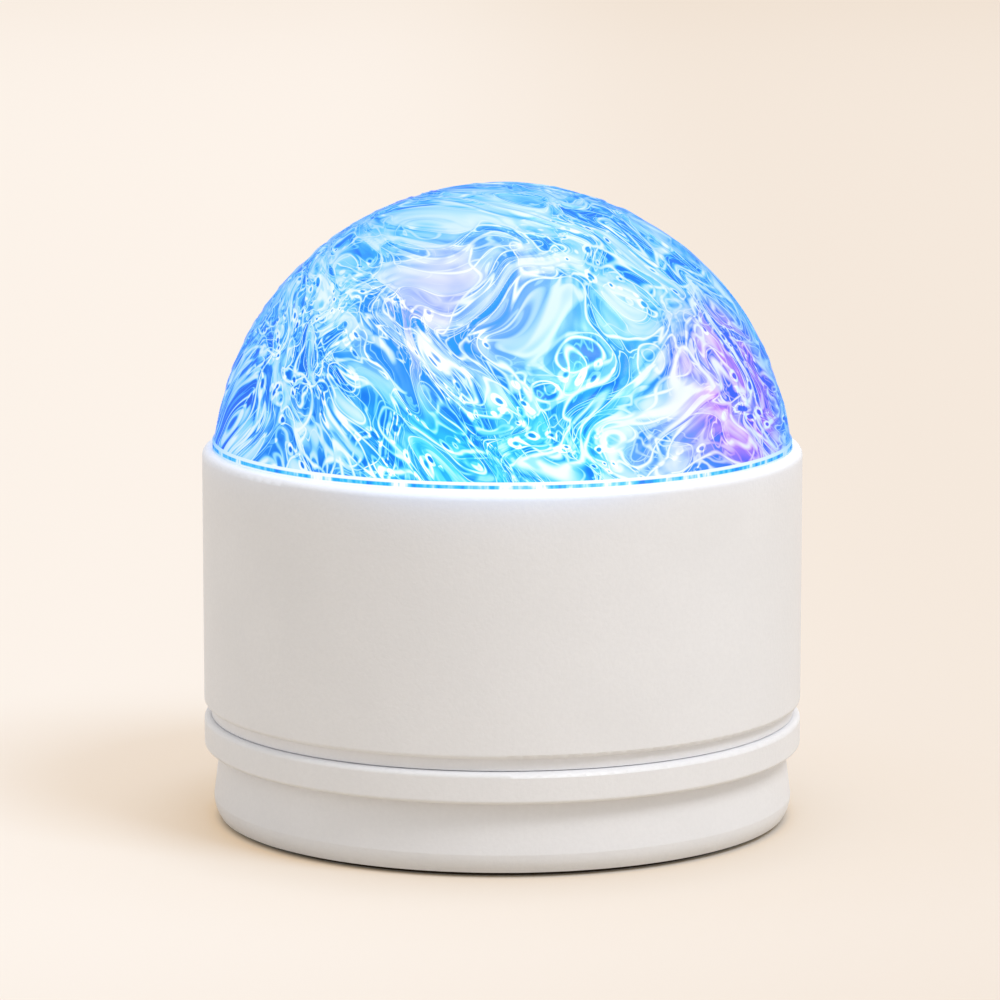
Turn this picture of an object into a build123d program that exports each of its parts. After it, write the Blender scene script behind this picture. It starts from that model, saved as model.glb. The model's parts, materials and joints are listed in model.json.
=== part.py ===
from build123d import *

import math
import os

# Ripple light projector, in millimetres. Z is the turning axis, the table is at zero and the front faces -Y.
# A drum with a lit dome (the head) turns on a fixed pedestal. A light tower stands still inside the drum.

# Outline from the table up
DRUM_DIAMETER = 115.0
PAD_THICKNESS = 0.9
FOOT_HEIGHT = 13.35
RING_HEIGHT = 5.95
SHADOW_GAP = 2.4
DRUM_HEIGHT = 49.55
DOME_RISE = 50.15

# Clearances
RUNNING_CLEARANCE = 0.05
FIT_CLEARANCE = 0.15
TURNING_GAP = 0.3
SWEEP_GAP = 1.0
CUT_OVERRUN = 1.0

# Self-tapping screws, one diameter throughout
SCREW_RADIUS = 1.0
SCREW_HOLE_RADIUS = 1.3
SCREW_HEAD_RADIUS = 1.9
SCREW_HEAD_HEIGHT = 1.3
SCREW_HEAD_ROUND = 0.4
SCREW_TIP_ROOM = 0.4
DRIVE_LENGTH = 2.0
DRIVE_WIDTH = 0.5
DRIVE_DEPTH = 0.6

# Drum: open shell with a collar for the dome, a ledge under it and a thick lip round its open bottom
DRUM_WALL = 2.2
DRUM_EDGE_ROUND = 0.9
COLLAR_WALL = 1.85
RIM_ROUND = 1.7
LEDGE_DEPTH = 5.55
LEDGE_WIDTH = 5.3
LEDGE_THICKNESS = 2.0
LIP_WIDTH = 3.35
LIP_HEIGHT = 3.6
BOSS_RADIUS = 3.0
BOSS_HEIGHT = 7.5
BOSS_WEB = 1.6
BOSS_COUNT = 4

# Dome: clear cap with a smooth band at its foot and an inward flange that is screwed to the ledge
DOME_WALL = 2.2
DOME_BAND_HEIGHT = 1.3
DOME_BAND_STEP = 0.3
DOME_FLANGE_WIDTH = 4.6
DOME_FLANGE_THICKNESS = 3.4
DOME_SCREW_INSET = 2.6
DOME_SCREW_BITE = 2.4
DOME_SCREW_COUNT = 6
SEAL_THICKNESS = 0.8

# Reflector tray under the ledge
TRAY_WALL = 1.6
TRAY_DEPTH = 4.0
TRAY_FLANGE_OVERLAP = 1.0

# Turntable that closes the drum, with its bush and washer
NECK_RECESS = 1.35
NECK_WALL = 2.2
NECK_GAP = 0.15
FLOOR_RISE = 1.0
FLOOR_THICKNESS = 2.6
FLOOR_RIB = 1.6
FLOOR_RIB_HEIGHT = 1.8
FLOOR_RIB_COUNT = 8
HUB_WALL = 2.0
HUB_RISE = 5.8
BUSH_WALL = 1.5
BUSH_FLANGE = 1.2
WASHER_THICKNESS = 0.8
SCREW_HEAD_ROOM = 0.5
TURNTABLE_SCREW_BITE = 5.0

# Glide ring that carries the turntable on the fixed deck
GLIDE_WIDTH = 4.0
GLIDE_THICKNESS = 1.8
GLIDE_SEAT = 0.6

# Drive: internal ring gear on the turntable, pinion on the motor shaft
GEAR_MODULE = 1.0
GEAR_RATIO = 5
PRESSURE_ANGLE = 20.0
ADDENDUM_SHARE = 1.0
RING_ADDENDUM_SHARE = 0.75
DEDENDUM_SHARE = 1.25
BACKLASH = 0.16
GEAR_RIM = 4.8
GEAR_FACE = 5.0
GEAR_SCREW_BITE = 4.0
GEAR_SCREW_COUNT = 4
PINION_LIFT = 0.6
PINION_FACE = 4.4
PINION_COLLAR_RADIUS = 3.6
PINION_COLLAR_HEIGHT = 1.2
PINION_HUB_GAP = 0.95

# Geared motor, standing on the tower's plate with its shaft pointing down
MOTOR_RADIUS = 11.0
MOTOR_GAP = 3.0
GEARBOX_HEIGHT = 8.0
CAN_RADIUS = 9.6
CAN_HEIGHT = 9.0
CAN_ROUND = 1.0
PILOT_RADIUS = 5.0
SHAFT_RADIUS = 2.0
SHAFT_DEPTH = 6.0
EAR_REACH = 14.6
EAR_RADIUS = 3.2
EAR_THICKNESS = 1.2
MOTOR_SCREW_BITE = 2.2
TERMINAL_WIDTH = 6.0
TERMINAL_HEIGHT = 4.0
TERMINAL_STAND = 1.4

# Light tower, fixed to the spigot of the base
TOWER_WALL = 2.2
PLATE_THICKNESS = 2.6
HEAD_THICKNESS = 2.6
TOWER_BOSS_RADIUS = 2.6
TOWER_BOSS_HEIGHT = 5.0
TOWER_SCREW_BITE = 5.6
TOWER_SCREW_COUNT = 3

# Light engine on top of the tower
SINK_OVERHANG = 3.0
SINK_THICKNESS = 2.5
SINK_PLUG_HEIGHT = 8.0
SINK_SLOT_WIDTH = 1.4
SINK_SLOT_PITCH = 4.6
LED_BOARD_MARGIN = 1.0
LED_BOARD_THICKNESS = 1.6
LED_SIZE = 3.5
LED_HEIGHT = 0.9
LED_LENS_RADIUS = 1.4
LED_CIRCLE_SHARE = 0.6
LED_COUNT = 6

# Ripple lens over the light engine, held by a clamp ring
LENS_WALL = 1.8
LENS_FLANGE_WIDTH = 1.8
LENS_FLANGE_THICKNESS = 1.6
LENS_SKIRT_HEIGHT = 6.4
LENS_RISE = 14.0
LENS_RIPPLES = 6
RIPPLE_HEIGHT = 0.5
CLAMP_WIDTH = 4.4
CLAMP_THICKNESS = 1.5
CLAMP_SCREW_BITE = 2.1
CLAMP_SCREW_COUNT = 3

# Base ring: the top of the pedestal, with the deck, the bearing spigot and the screw posts
RING_WALL = 2.7
RING_TOP_ROUND = 1.0
RING_BOTTOM_ROUND = 0.7
DECK_THICKNESS = 2.6
SPIGOT_WALL = 2.4
SPIGOT_FLANGE_WIDTH = 5.6
SPIGOT_FLANGE_THICKNESS = 2.4
POST_RADIUS = 3.6
POST_SETBACK = 8.07
BASE_SCREW_BITE = 6.0

# Foot shell: a wall that flares from the throat under the ring to a belly and turns in to the toe
THROAT_DEPTH = 3.0
FOOT_INSET = 1.75
TOE_INSET = 2.8
TOE_WIDTH = 4.35
BELLY_HEIGHT = 3.5
FOOT_WALL = 2.9

# Bottom cover and rubber pad
COVER_THICKNESS = 2.0
CUP_WEB = 1.6
CUP_SINK = 0.4
PAD_INSET = 1.9
PAD_WIDTH = 8.2
PAD_EDGE_ROUND = 0.3

# Control board
BOARD_STANDOFF = 2.2
STANDOFF_RADIUS = 3.0
BOARD_THICKNESS = 1.6
BOARD_DEPTH = 26.0
BOARD_WIDTH = 62.0
BOARD_SCREW_INSET = 5.0
BOARD_SCREW_SETBACK = 8.0
BOARD_SCREW_BITE = 3.4
TAB_WIDTH = 13.0
TAB_GAP = 0.5

# Board components
CHIP_SIZE = 6.0
CHIP_HEIGHT = 1.0
CHIP_PITCH = 11.0
CHIP_SETBACK = 13.0
COIL_RADIUS = 3.0
COIL_HEIGHT = 3.2
PLUG_WIDTH = 6.0
PLUG_DEPTH = 4.5
PLUG_HEIGHT = 4.2
PLUG_PITCH = 9.0
PLUG_SETBACK = 1.0

# Charging socket, USB type C
USB_WIDTH = 8.94
USB_HEIGHT = 3.26
USB_SHELL = 0.35
USB_LENGTH = 7.3
USB_BACK = 1.0
USB_TONGUE_WIDTH = 6.7
USB_TONGUE_THICKNESS = 0.7
USB_TONGUE_LENGTH = 4.6
USB_SETBACK = 1.35
PORT_GAP = 0.3
PORT_FRAME = 1.8
PORT_FRAME_DEPTH = 0.9

# Power button and the switch behind it
BUTTON_ANGLE = 20.0
BUTTON_RADIUS = 3.3
BUTTON_GAP = 0.2
BUTTON_PROUD = 0.05
BUTTON_FACE_ROUND = 0.6
BUTTON_FLANGE = 1.0
BUTTON_FLANGE_THICKNESS = 1.2
BUTTON_TRAVEL = 0.6
SWITCH_AXIS_HEIGHT = 2.0
SWITCH_WIDTH = 6.0
SWITCH_DEPTH = 3.6
SWITCH_HEIGHT = 4.0
PLUNGER_RADIUS = 1.2
PLUNGER_LENGTH = 1.6
PLUNGER_GAP = 0.05

# Rechargeable cell on its foam pad
CELL_LENGTH = 48.0
CELL_WIDTH = 32.0
CELL_THICKNESS = 7.0
CELL_ROUND = 1.6
CELL_MARGIN = 1.0
FOAM_THICKNESS = 0.8
FOAM_INSET = 2.0

# Leads between the board, the cell, the motor and the lights
LEAD_RADIUS = 1.1
LEAD_PITCH = 3.0
LEAD_BEND = 5.0
LEAD_TURN = 8.0
LEAD_KNEE_SHARE = 0.25
LEAD_CLEARANCE = 0.9
LEAD_EXIT_RISE = 10.0

# Heights above the table
FOOT_BOTTOM = PAD_THICKNESS
RING_BOTTOM = FOOT_BOTTOM + FOOT_HEIGHT
RING_TOP = RING_BOTTOM + RING_HEIGHT
DECK_BOTTOM = RING_TOP - DECK_THICKNESS
DRUM_BOTTOM = RING_TOP + SHADOW_GAP
RIM = DRUM_BOTTOM + DRUM_HEIGHT
DOME_TOP = RIM + DOME_RISE
LEDGE_TOP = RIM - LEDGE_DEPTH
LEDGE_BOTTOM = LEDGE_TOP - LEDGE_THICKNESS
DOME_BOTTOM = LEDGE_TOP + SEAL_THICKNESS
NECK_BOTTOM = RING_TOP + NECK_GAP
FLOOR_BOTTOM = DRUM_BOTTOM + FLOOR_RISE
FLOOR_TOP = FLOOR_BOTTOM + FLOOR_THICKNESS
HUB_TOP = FLOOR_TOP + HUB_RISE
WASHER_BOTTOM = HUB_TOP + BUSH_FLANGE
SPIGOT_TOP = WASHER_BOTTOM + WASHER_THICKNESS + TURNING_GAP
PLATE_TOP = SPIGOT_TOP + PLATE_THICKNESS
TOWER_TOP = LEDGE_BOTTOM - TRAY_DEPTH
SINK_TOP = TOWER_TOP + SINK_THICKNESS
LED_BOARD_TOP = SINK_TOP + LED_BOARD_THICKNESS
COVER_TOP = FOOT_BOTTOM + COVER_THICKNESS
POST_BOTTOM = FOOT_BOTTOM + CUP_SINK + SCREW_HEAD_HEIGHT + CUP_WEB
BOARD_BOTTOM = COVER_TOP + BOARD_STANDOFF
BOARD_TOP = BOARD_BOTTOM + BOARD_THICKNESS
PLUG_MIDDLE = BOARD_TOP + PLUG_HEIGHT / 2
LEAD_EXIT = PLATE_TOP + LEAD_EXIT_RISE

# Radii of the head
DRUM_RADIUS = DRUM_DIAMETER / 2
DRUM_INNER = DRUM_RADIUS - DRUM_WALL
NECK_RADIUS = DRUM_RADIUS - NECK_RECESS
LIP_INNER = DRUM_RADIUS - LIP_WIDTH
SEAT_RADIUS = LIP_INNER - FIT_CLEARANCE
NECK_INNER = SEAT_RADIUS - NECK_WALL
COLLAR_INNER = DRUM_RADIUS - COLLAR_WALL
SKIRT_RADIUS = COLLAR_INNER - FIT_CLEARANCE
LEDGE_INNER = DRUM_INNER - LEDGE_WIDTH
FLANGE_INNER = SKIRT_RADIUS - DOME_FLANGE_WIDTH
DOME_SCREW_CIRCLE = SKIRT_RADIUS - DOME_SCREW_INSET
BOSS_CIRCLE = NECK_INNER - SCREW_HEAD_RADIUS - SCREW_HEAD_ROOM
BOSS_INNER = BOSS_CIRCLE - BOSS_RADIUS

# Drive: as many pinion teeth as let the ring gear fit inside the drum's bosses
DEDENDUM = GEAR_MODULE * DEDENDUM_SHARE
RING_PITCH_ROOM = BOSS_INNER - TURNING_GAP - GEAR_RIM - DEDENDUM
PINION_TEETH = math.floor(2 * RING_PITCH_ROOM / (GEAR_MODULE * GEAR_RATIO))
RING_TEETH = GEAR_RATIO * PINION_TEETH
RING_PITCH_RADIUS = GEAR_MODULE * RING_TEETH / 2
RING_ROOT_RADIUS = RING_PITCH_RADIUS + DEDENDUM
RING_TIP_RADIUS = RING_PITCH_RADIUS - GEAR_MODULE * RING_ADDENDUM_SHARE
GEAR_OUTER = RING_ROOT_RADIUS + GEAR_RIM
GEAR_SCREW_CIRCLE = RING_ROOT_RADIUS + GEAR_RIM / 2
PINION_PITCH_RADIUS = GEAR_MODULE * PINION_TEETH / 2
PINION_TIP_RADIUS = PINION_PITCH_RADIUS + GEAR_MODULE * ADDENDUM_SHARE
GEAR_CENTRE = RING_PITCH_RADIUS - PINION_PITCH_RADIUS
PINION_BOTTOM = FLOOR_TOP + PINION_LIFT

# Radii of the tower, its light engine and the bearing
TOWER_RADIUS = GEAR_CENTRE - MOTOR_RADIUS - MOTOR_GAP
TOWER_BORE = TOWER_RADIUS - TOWER_WALL
PLATE_RADIUS = BOSS_INNER - SWEEP_GAP
HUB_RADIUS = GEAR_CENTRE - PINION_TIP_RADIUS - PINION_HUB_GAP
BUSH_RADIUS = HUB_RADIUS - HUB_WALL
BUSH_BORE = BUSH_RADIUS - BUSH_WALL
SPIGOT_RADIUS = BUSH_BORE - RUNNING_CLEARANCE
SPIGOT_BORE = SPIGOT_RADIUS - SPIGOT_WALL
WIRE_HOLE_RADIUS = SPIGOT_BORE - SPIGOT_FLANGE_WIDTH
TOWER_SCREW_CIRCLE = WIRE_HOLE_RADIUS + SPIGOT_FLANGE_WIDTH / 2
LEAD_HOLE_RADIUS = LEAD_RADIUS + LEAD_CLEARANCE
SINK_RADIUS = TOWER_RADIUS + SINK_OVERHANG
LED_BOARD_RADIUS = SINK_RADIUS - LED_BOARD_MARGIN
LED_CIRCLE = LED_BOARD_RADIUS * LED_CIRCLE_SHARE
LENS_INNER = SINK_RADIUS + FIT_CLEARANCE
LENS_RADIUS = LENS_INNER + LENS_WALL
LENS_FLANGE_RADIUS = LENS_RADIUS + LENS_FLANGE_WIDTH
CLAMP_INNER = LENS_FLANGE_RADIUS + FIT_CLEARANCE
HEAD_RADIUS = CLAMP_INNER + CLAMP_WIDTH
CLAMP_SCREW_CIRCLE = CLAMP_INNER + CLAMP_WIDTH / 2
TRAY_BORE = HEAD_RADIUS + SWEEP_GAP

# Radii and places in the pedestal
THROAT_RADIUS = DRUM_RADIUS - THROAT_DEPTH
FOOT_RADIUS = DRUM_RADIUS - FOOT_INSET
FOOT_INNER = FOOT_RADIUS - FOOT_WALL
THROAT_INNER = THROAT_RADIUS - FOOT_WALL
TOE_RADIUS = DRUM_RADIUS - TOE_INSET
TOE_INNER = TOE_RADIUS - TOE_WIDTH
BELLY = FOOT_BOTTOM + BELLY_HEIGHT
COVER_RADIUS = TOE_INNER - FIT_CLEARANCE
PAD_RADIUS = TOE_RADIUS - PAD_INSET
PAD_INNER = PAD_RADIUS - PAD_WIDTH
POST_CIRCLE = PAD_INNER - POST_RADIUS - SWEEP_GAP
USB_FRONT = FOOT_RADIUS - USB_SETBACK
USB_MIDDLE = BOARD_TOP + USB_HEIGHT / 2
BUTTON_FRONT = FOOT_RADIUS + BUTTON_PROUD
BUTTON_SHOULDER = THROAT_INNER - BUTTON_GAP - BUTTON_GAP
BUTTON_BACK = BUTTON_SHOULDER - BUTTON_FLANGE_THICKNESS
BUTTON_HEIGHT = BOARD_TOP + SWITCH_AXIS_HEIGHT
BUTTON_HOLE_RADIUS = BUTTON_RADIUS + BUTTON_GAP
PLUNGER_TIP = BUTTON_BACK - BUTTON_TRAVEL - PLUNGER_GAP
SWITCH_FRONT = PLUNGER_TIP - PLUNGER_LENGTH
BOARD_RADIUS = SWITCH_FRONT
BOARD_FRONT = BOARD_RADIUS - BOARD_DEPTH
BOARD_SCREW_X = BOARD_WIDTH / 2 - BOARD_SCREW_INSET
BOARD_SCREW_Y = BOARD_FRONT + BOARD_SCREW_SETBACK
POST_Y = BOARD_FRONT - POST_SETBACK
POST_X = math.sqrt(POST_CIRCLE**2 - POST_Y**2)
TAB_END = math.sqrt(FOOT_INNER**2 - (TAB_WIDTH / 2) ** 2) - TAB_GAP
PLUG_FRONT = BOARD_FRONT + PLUG_SETBACK
CELL_BACK = math.sqrt((COVER_RADIUS - CELL_MARGIN) ** 2 - (CELL_LENGTH / 2) ** 2)
CELL_MIDDLE_Y = CELL_WIDTH / 2 - CELL_BACK
CELL_BOTTOM = COVER_TOP + FOAM_THICKNESS

STANDING = (Align.CENTER, Align.CENTER, Align.MIN)
HANGING = (Align.CENTER, Align.CENTER, Align.MAX)


def rod(radius, bottom, top, x=0, y=0):
    """Upright cylinder between two heights."""
    return Pos(x, y, bottom) * Cylinder(radius, top - bottom, align=STANDING)


def tube(outer, inner, bottom, top):
    """Upright ring between two heights."""
    return rod(outer, bottom, top) - rod(inner, bottom, top)


def turned(points, rounds=()):
    """Solid of revolution of (radius, height) points; rounds pairs a corner with its fillet radius."""
    profile = Polygon(*points, align=None)
    for corner, radius in rounds:
        profile = fillet(profile.vertices().sort_by_distance((*corner, 0))[0], radius)
    return revolve(Plane.XZ * profile, Axis.Z)


def around(shape, count, start=0):
    """Copies of a shape, evenly spaced about the turning axis."""
    return [Rot(0, 0, start + 360 * index / count) * shape for index in range(count)]


def at_corners(shape):
    """Copies of a shape at the four screw posts of the pedestal."""
    return [Pos(side * POST_X, end * POST_Y, 0) * shape for side in (-1, 1) for end in (-1, 1)]


def screw(grip):
    """Pan-head screw with its head above the origin and its shank below."""
    head = Cylinder(SCREW_HEAD_RADIUS, SCREW_HEAD_HEIGHT, align=STANDING)
    head = fillet(head.edges().sort_by(Axis.Z)[-1], SCREW_HEAD_ROUND)
    cut = Box(DRIVE_LENGTH, DRIVE_WIDTH, DRIVE_DEPTH, align=HANGING)
    drive = Pos(0, 0, SCREW_HEAD_HEIGHT) * (cut + Rot(0, 0, 90) * cut)
    return head - drive + Cylinder(SCREW_RADIUS, grip, align=HANGING)


def screw_down(grip, x, y, seat):
    """Screw driven from above, its head on the seat height."""
    return Pos(x, y, seat) * screw(grip)


def screw_up(grip, x, y, seat):
    """Screw driven from below, its head under the seat height."""
    return Pos(x, y, seat) * Rot(180, 0, 0) * screw(grip)


# Head: dome, drum and turntable


def dome_centre(wall=0):
    """Radius of the dome's sphere less a wall, and the height of its centre."""
    foot = SKIRT_RADIUS - DOME_BAND_STEP
    rise = DOME_RISE - DOME_BAND_HEIGHT
    radius = (foot**2 + rise**2) / (2 * rise)
    return radius - wall, DOME_TOP - radius


def dome():
    """Spherical cap on a plain band and skirt, with the screwed flange inside its foot."""
    outer, centre = dome_centre()
    inner, centre = dome_centre(DOME_WALL)
    band_top = RIM + DOME_BAND_HEIGHT
    band_radius = SKIRT_RADIUS - DOME_BAND_STEP
    flange_top = DOME_BOTTOM + DOME_FLANGE_THICKNESS
    inner_foot = math.sqrt(inner**2 - (flange_top - centre) ** 2)
    inner_top = (0, centre + inner)
    half = math.sqrt(0.5)
    profile = make_face(
        [
            ThreePointArc((0, DOME_TOP), (outer * half, centre + outer * half), (band_radius, band_top)),
            Polyline(
                (band_radius, band_top),
                (SKIRT_RADIUS, band_top),
                (SKIRT_RADIUS, DOME_BOTTOM),
                (FLANGE_INNER, DOME_BOTTOM),
                (FLANGE_INNER, flange_top),
                (inner_foot, flange_top),
            ),
            ThreePointArc((inner_foot, flange_top), (inner * half, centre + inner * half), inner_top),
            Line(inner_top, (0, DOME_TOP)),
        ]
    )
    pilot = rod(SCREW_RADIUS, DOME_BOTTOM, DOME_BOTTOM + DOME_SCREW_BITE + SCREW_TIP_ROOM, DOME_SCREW_CIRCLE)
    return revolve(Plane.XZ * profile, Axis.Z) - around(pilot, DOME_SCREW_COUNT)


def dome_screw_holes():
    """Clearance holes for the dome screws, through tray, ledge and seal."""
    hole = rod(SCREW_HOLE_RADIUS, LEDGE_BOTTOM - TRAY_WALL - CUT_OVERRUN, DOME_BOTTOM, DOME_SCREW_CIRCLE)
    return around(hole, DOME_SCREW_COUNT)


def dome_seal():
    """Flat silicone ring between the ledge and the dome's flange."""
    return tube(SKIRT_RADIUS, FLANGE_INNER, LEDGE_TOP, DOME_BOTTOM) - dome_screw_holes()


def dome_screws():
    """Screws that hold tray, ledge, seal and dome together, driven from below."""
    grip = TRAY_WALL + LEDGE_THICKNESS + SEAL_THICKNESS + DOME_SCREW_BITE
    one = screw_up(grip, DOME_SCREW_CIRCLE, 0, LEDGE_BOTTOM - TRAY_WALL)
    return Compound(around(one, DOME_SCREW_COUNT))


def drum():
    """Straight white shell with collar, ledge and bottom lip, and webbed bosses for the turntable."""
    lip_top = DRUM_BOTTOM + LIP_HEIGHT
    shell = turned(
        [
            (LIP_INNER, DRUM_BOTTOM),
            (DRUM_RADIUS, DRUM_BOTTOM),
            (DRUM_RADIUS, RIM),
            (COLLAR_INNER, RIM),
            (COLLAR_INNER, LEDGE_TOP),
            (LEDGE_INNER, LEDGE_TOP),
            (LEDGE_INNER, LEDGE_BOTTOM),
            (DRUM_INNER, LEDGE_BOTTOM),
            (DRUM_INNER, lip_top),
            (LIP_INNER, lip_top),
        ],
        [((DRUM_RADIUS, DRUM_BOTTOM), DRUM_EDGE_ROUND), ((DRUM_RADIUS, RIM), min(RIM_ROUND, COLLAR_WALL))],
    )
    boss_top = FLOOR_TOP + BOSS_HEIGHT
    web_length = DRUM_INNER - BOSS_CIRCLE + DRUM_WALL / 2
    web = Pos(BOSS_CIRCLE + web_length / 2, 0, FLOOR_TOP)
    web = web * Box(web_length, BOSS_WEB, BOSS_HEIGHT, align=STANDING)
    boss = rod(BOSS_RADIUS, FLOOR_TOP, boss_top, BOSS_CIRCLE) + web
    pilot = rod(SCREW_RADIUS, FLOOR_TOP, FLOOR_TOP + TURNTABLE_SCREW_BITE + SCREW_TIP_ROOM, BOSS_CIRCLE)
    start = 180 / BOSS_COUNT
    bosses = around(boss, BOSS_COUNT, start)
    return shell + bosses - around(pilot, BOSS_COUNT, start) - dome_screw_holes()


def reflector_tray():
    """White dish under the ledge that throws the light up and hides the works."""
    rim = DRUM_INNER - FIT_CLEARANCE
    flange = LEDGE_INNER - TRAY_FLANGE_OVERLAP
    top = LEDGE_BOTTOM
    tray = turned(
        [
            (rim, top),
            (flange, top),
            (TRAY_BORE, top - TRAY_DEPTH),
            (TRAY_BORE, top - TRAY_DEPTH - TRAY_WALL),
            (flange, top - TRAY_WALL),
            (rim, top - TRAY_WALL),
        ]
    )
    return tray - dome_screw_holes()


def turntable():
    """Cup that closes the drum and carries its lip on the neck in the shadow gap, with ribs and hub."""
    cup = turned(
        [
            (BUSH_RADIUS, NECK_BOTTOM),
            (HUB_RADIUS, NECK_BOTTOM),
            (HUB_RADIUS, FLOOR_BOTTOM),
            (NECK_INNER, FLOOR_BOTTOM),
            (NECK_INNER, NECK_BOTTOM),
            (NECK_RADIUS, NECK_BOTTOM),
            (NECK_RADIUS, DRUM_BOTTOM),
            (SEAT_RADIUS, DRUM_BOTTOM),
            (SEAT_RADIUS, FLOOR_TOP),
            (HUB_RADIUS, FLOOR_TOP),
            (HUB_RADIUS, HUB_TOP),
            (BUSH_RADIUS, HUB_TOP),
        ]
    )
    track_top = RING_TOP - GLIDE_SEAT + GLIDE_THICKNESS
    outer = GEAR_SCREW_CIRCLE + GLIDE_WIDTH / 2
    inner = GEAR_SCREW_CIRCLE - GLIDE_WIDTH / 2
    track = tube(outer, inner, track_top, FLOOR_BOTTOM)
    rib_length = inner - HUB_RADIUS + GLIDE_WIDTH / 2
    rib = Pos(HUB_RADIUS + rib_length / 2, 0, FLOOR_BOTTOM)
    rib = rib * Box(rib_length, FLOOR_RIB, FLOOR_RIB_HEIGHT, align=HANGING)
    ribs = around(rib, FLOOR_RIB_COUNT, 180 / FLOOR_RIB_COUNT)
    hole = rod(SCREW_HOLE_RADIUS, FLOOR_BOTTOM, FLOOR_TOP, BOSS_CIRCLE)
    pilot = rod(SCREW_RADIUS, FLOOR_TOP - GEAR_SCREW_BITE - SCREW_TIP_ROOM, FLOOR_TOP, GEAR_SCREW_CIRCLE)
    holes = around(hole, BOSS_COUNT, 180 / BOSS_COUNT)
    return cup + track + ribs - holes - around(pilot, GEAR_SCREW_COUNT)


def turntable_screws():
    """Screws from under the turntable into the drum's bosses."""
    one = screw_up(FLOOR_THICKNESS + TURNTABLE_SCREW_BITE, BOSS_CIRCLE, 0, FLOOR_BOTTOM)
    return Compound(around(one, BOSS_COUNT, 180 / BOSS_COUNT))


def hub_bush():
    """Flanged plain bearing in the turntable's hub."""
    return turned(
        [
            (BUSH_BORE, NECK_BOTTOM),
            (BUSH_RADIUS, NECK_BOTTOM),
            (BUSH_RADIUS, HUB_TOP),
            (HUB_RADIUS, HUB_TOP),
            (HUB_RADIUS, WASHER_BOTTOM),
            (BUSH_BORE, WASHER_BOTTOM),
        ]
    )


def thrust_washer():
    """Slip washer under the tower's plate, which keeps the head from lifting off."""
    bore = SPIGOT_RADIUS + FIT_CLEARANCE
    return tube(HUB_RADIUS, bore, WASHER_BOTTOM, WASHER_BOTTOM + WASHER_THICKNESS)


def glide_ring():
    """Low-friction ring in a groove of the deck."""
    bottom = RING_TOP - GLIDE_SEAT
    reach = GLIDE_WIDTH / 2
    return tube(GEAR_SCREW_CIRCLE + reach, GEAR_SCREW_CIRCLE - reach, bottom, bottom + GLIDE_THICKNESS)


# Drive


def involute(radius, base):
    """Involute angle at a radius, from the base circle."""
    roll = math.sqrt(max((radius / base) ** 2 - 1, 0))
    return roll - math.atan(roll)


def polar(radius, angle):
    """Point at a radius and an angle in radians."""
    return radius * math.cos(angle), radius * math.sin(angle)


def toothed_face(teeth, tip, root, widening):
    """Face bounded by involute teeth, each widened at the pitch circle, with a tooth on the X axis."""
    pitch = GEAR_MODULE * teeth / 2
    base = pitch * math.cos(math.radians(PRESSURE_ANGLE))
    half_tooth = math.pi / (2 * teeth) + widening / (2 * pitch) + involute(pitch, base)
    start = max(root, base)
    middle = (start + tip) / 2
    low, mid, high = [half_tooth - involute(radius, base) for radius in (start, middle, tip)]
    edges = []
    for tooth in range(teeth):
        axis = 2 * math.pi * tooth / teeth
        step = 2 * math.pi / teeth
        rise = [polar(start, axis - low), polar(middle, axis - mid), polar(tip, axis - high)]
        fall = [polar(tip, axis + high), polar(middle, axis + mid), polar(start, axis + low)]
        foot = [polar(root, axis + low), polar(root, axis + step / 2), polar(root, axis + step - low)]
        crest = [rise[2], polar(tip, axis), fall[0]]
        edges += [ThreePointArc(*rise), ThreePointArc(*crest), ThreePointArc(*fall), ThreePointArc(*foot)]
        if start > root:
            edges += [Line(polar(root, axis - low), rise[0]), Line(fall[2], foot[0])]
    return make_face(edges)


def ring_gear():
    """Internal gear, screwed to the turntable's floor."""
    teeth = toothed_face(RING_TEETH, RING_ROOT_RADIUS, RING_TIP_RADIUS, BACKLASH / 2)
    ring = extrude(Pos(0, 0, FLOOR_TOP) * (Circle(GEAR_OUTER) - teeth), amount=GEAR_FACE)
    hole = rod(SCREW_HOLE_RADIUS, FLOOR_TOP, FLOOR_TOP + GEAR_FACE, GEAR_SCREW_CIRCLE)
    return ring - around(hole, GEAR_SCREW_COUNT)


def gear_screws():
    """Screws through the ring gear into the turntable."""
    one = screw_down(GEAR_FACE + GEAR_SCREW_BITE, GEAR_SCREW_CIRCLE, 0, FLOOR_TOP + GEAR_FACE)
    return Compound(around(one, GEAR_SCREW_COUNT))


def drive_pinion():
    """Spur pinion with a collar, pressed on the motor shaft and in mesh with the ring gear."""
    root = PINION_PITCH_RADIUS - DEDENDUM
    teeth = toothed_face(PINION_TEETH, PINION_TIP_RADIUS, root, -BACKLASH / 2)
    gear = extrude(Pos(GEAR_CENTRE, 0, PINION_BOTTOM) * teeth, amount=PINION_FACE)
    collar_top = PINION_BOTTOM + PINION_FACE + PINION_COLLAR_HEIGHT
    collar = rod(PINION_COLLAR_RADIUS, PINION_BOTTOM + PINION_FACE, collar_top, GEAR_CENTRE)
    return gear + collar - rod(SHAFT_RADIUS, PINION_BOTTOM, collar_top, GEAR_CENTRE)


def motor_shaft():
    """Output shaft from the gearbox down through the pinion."""
    return rod(SHAFT_RADIUS, PINION_BOTTOM, PLATE_TOP + SHAFT_DEPTH, GEAR_CENTRE)


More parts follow.
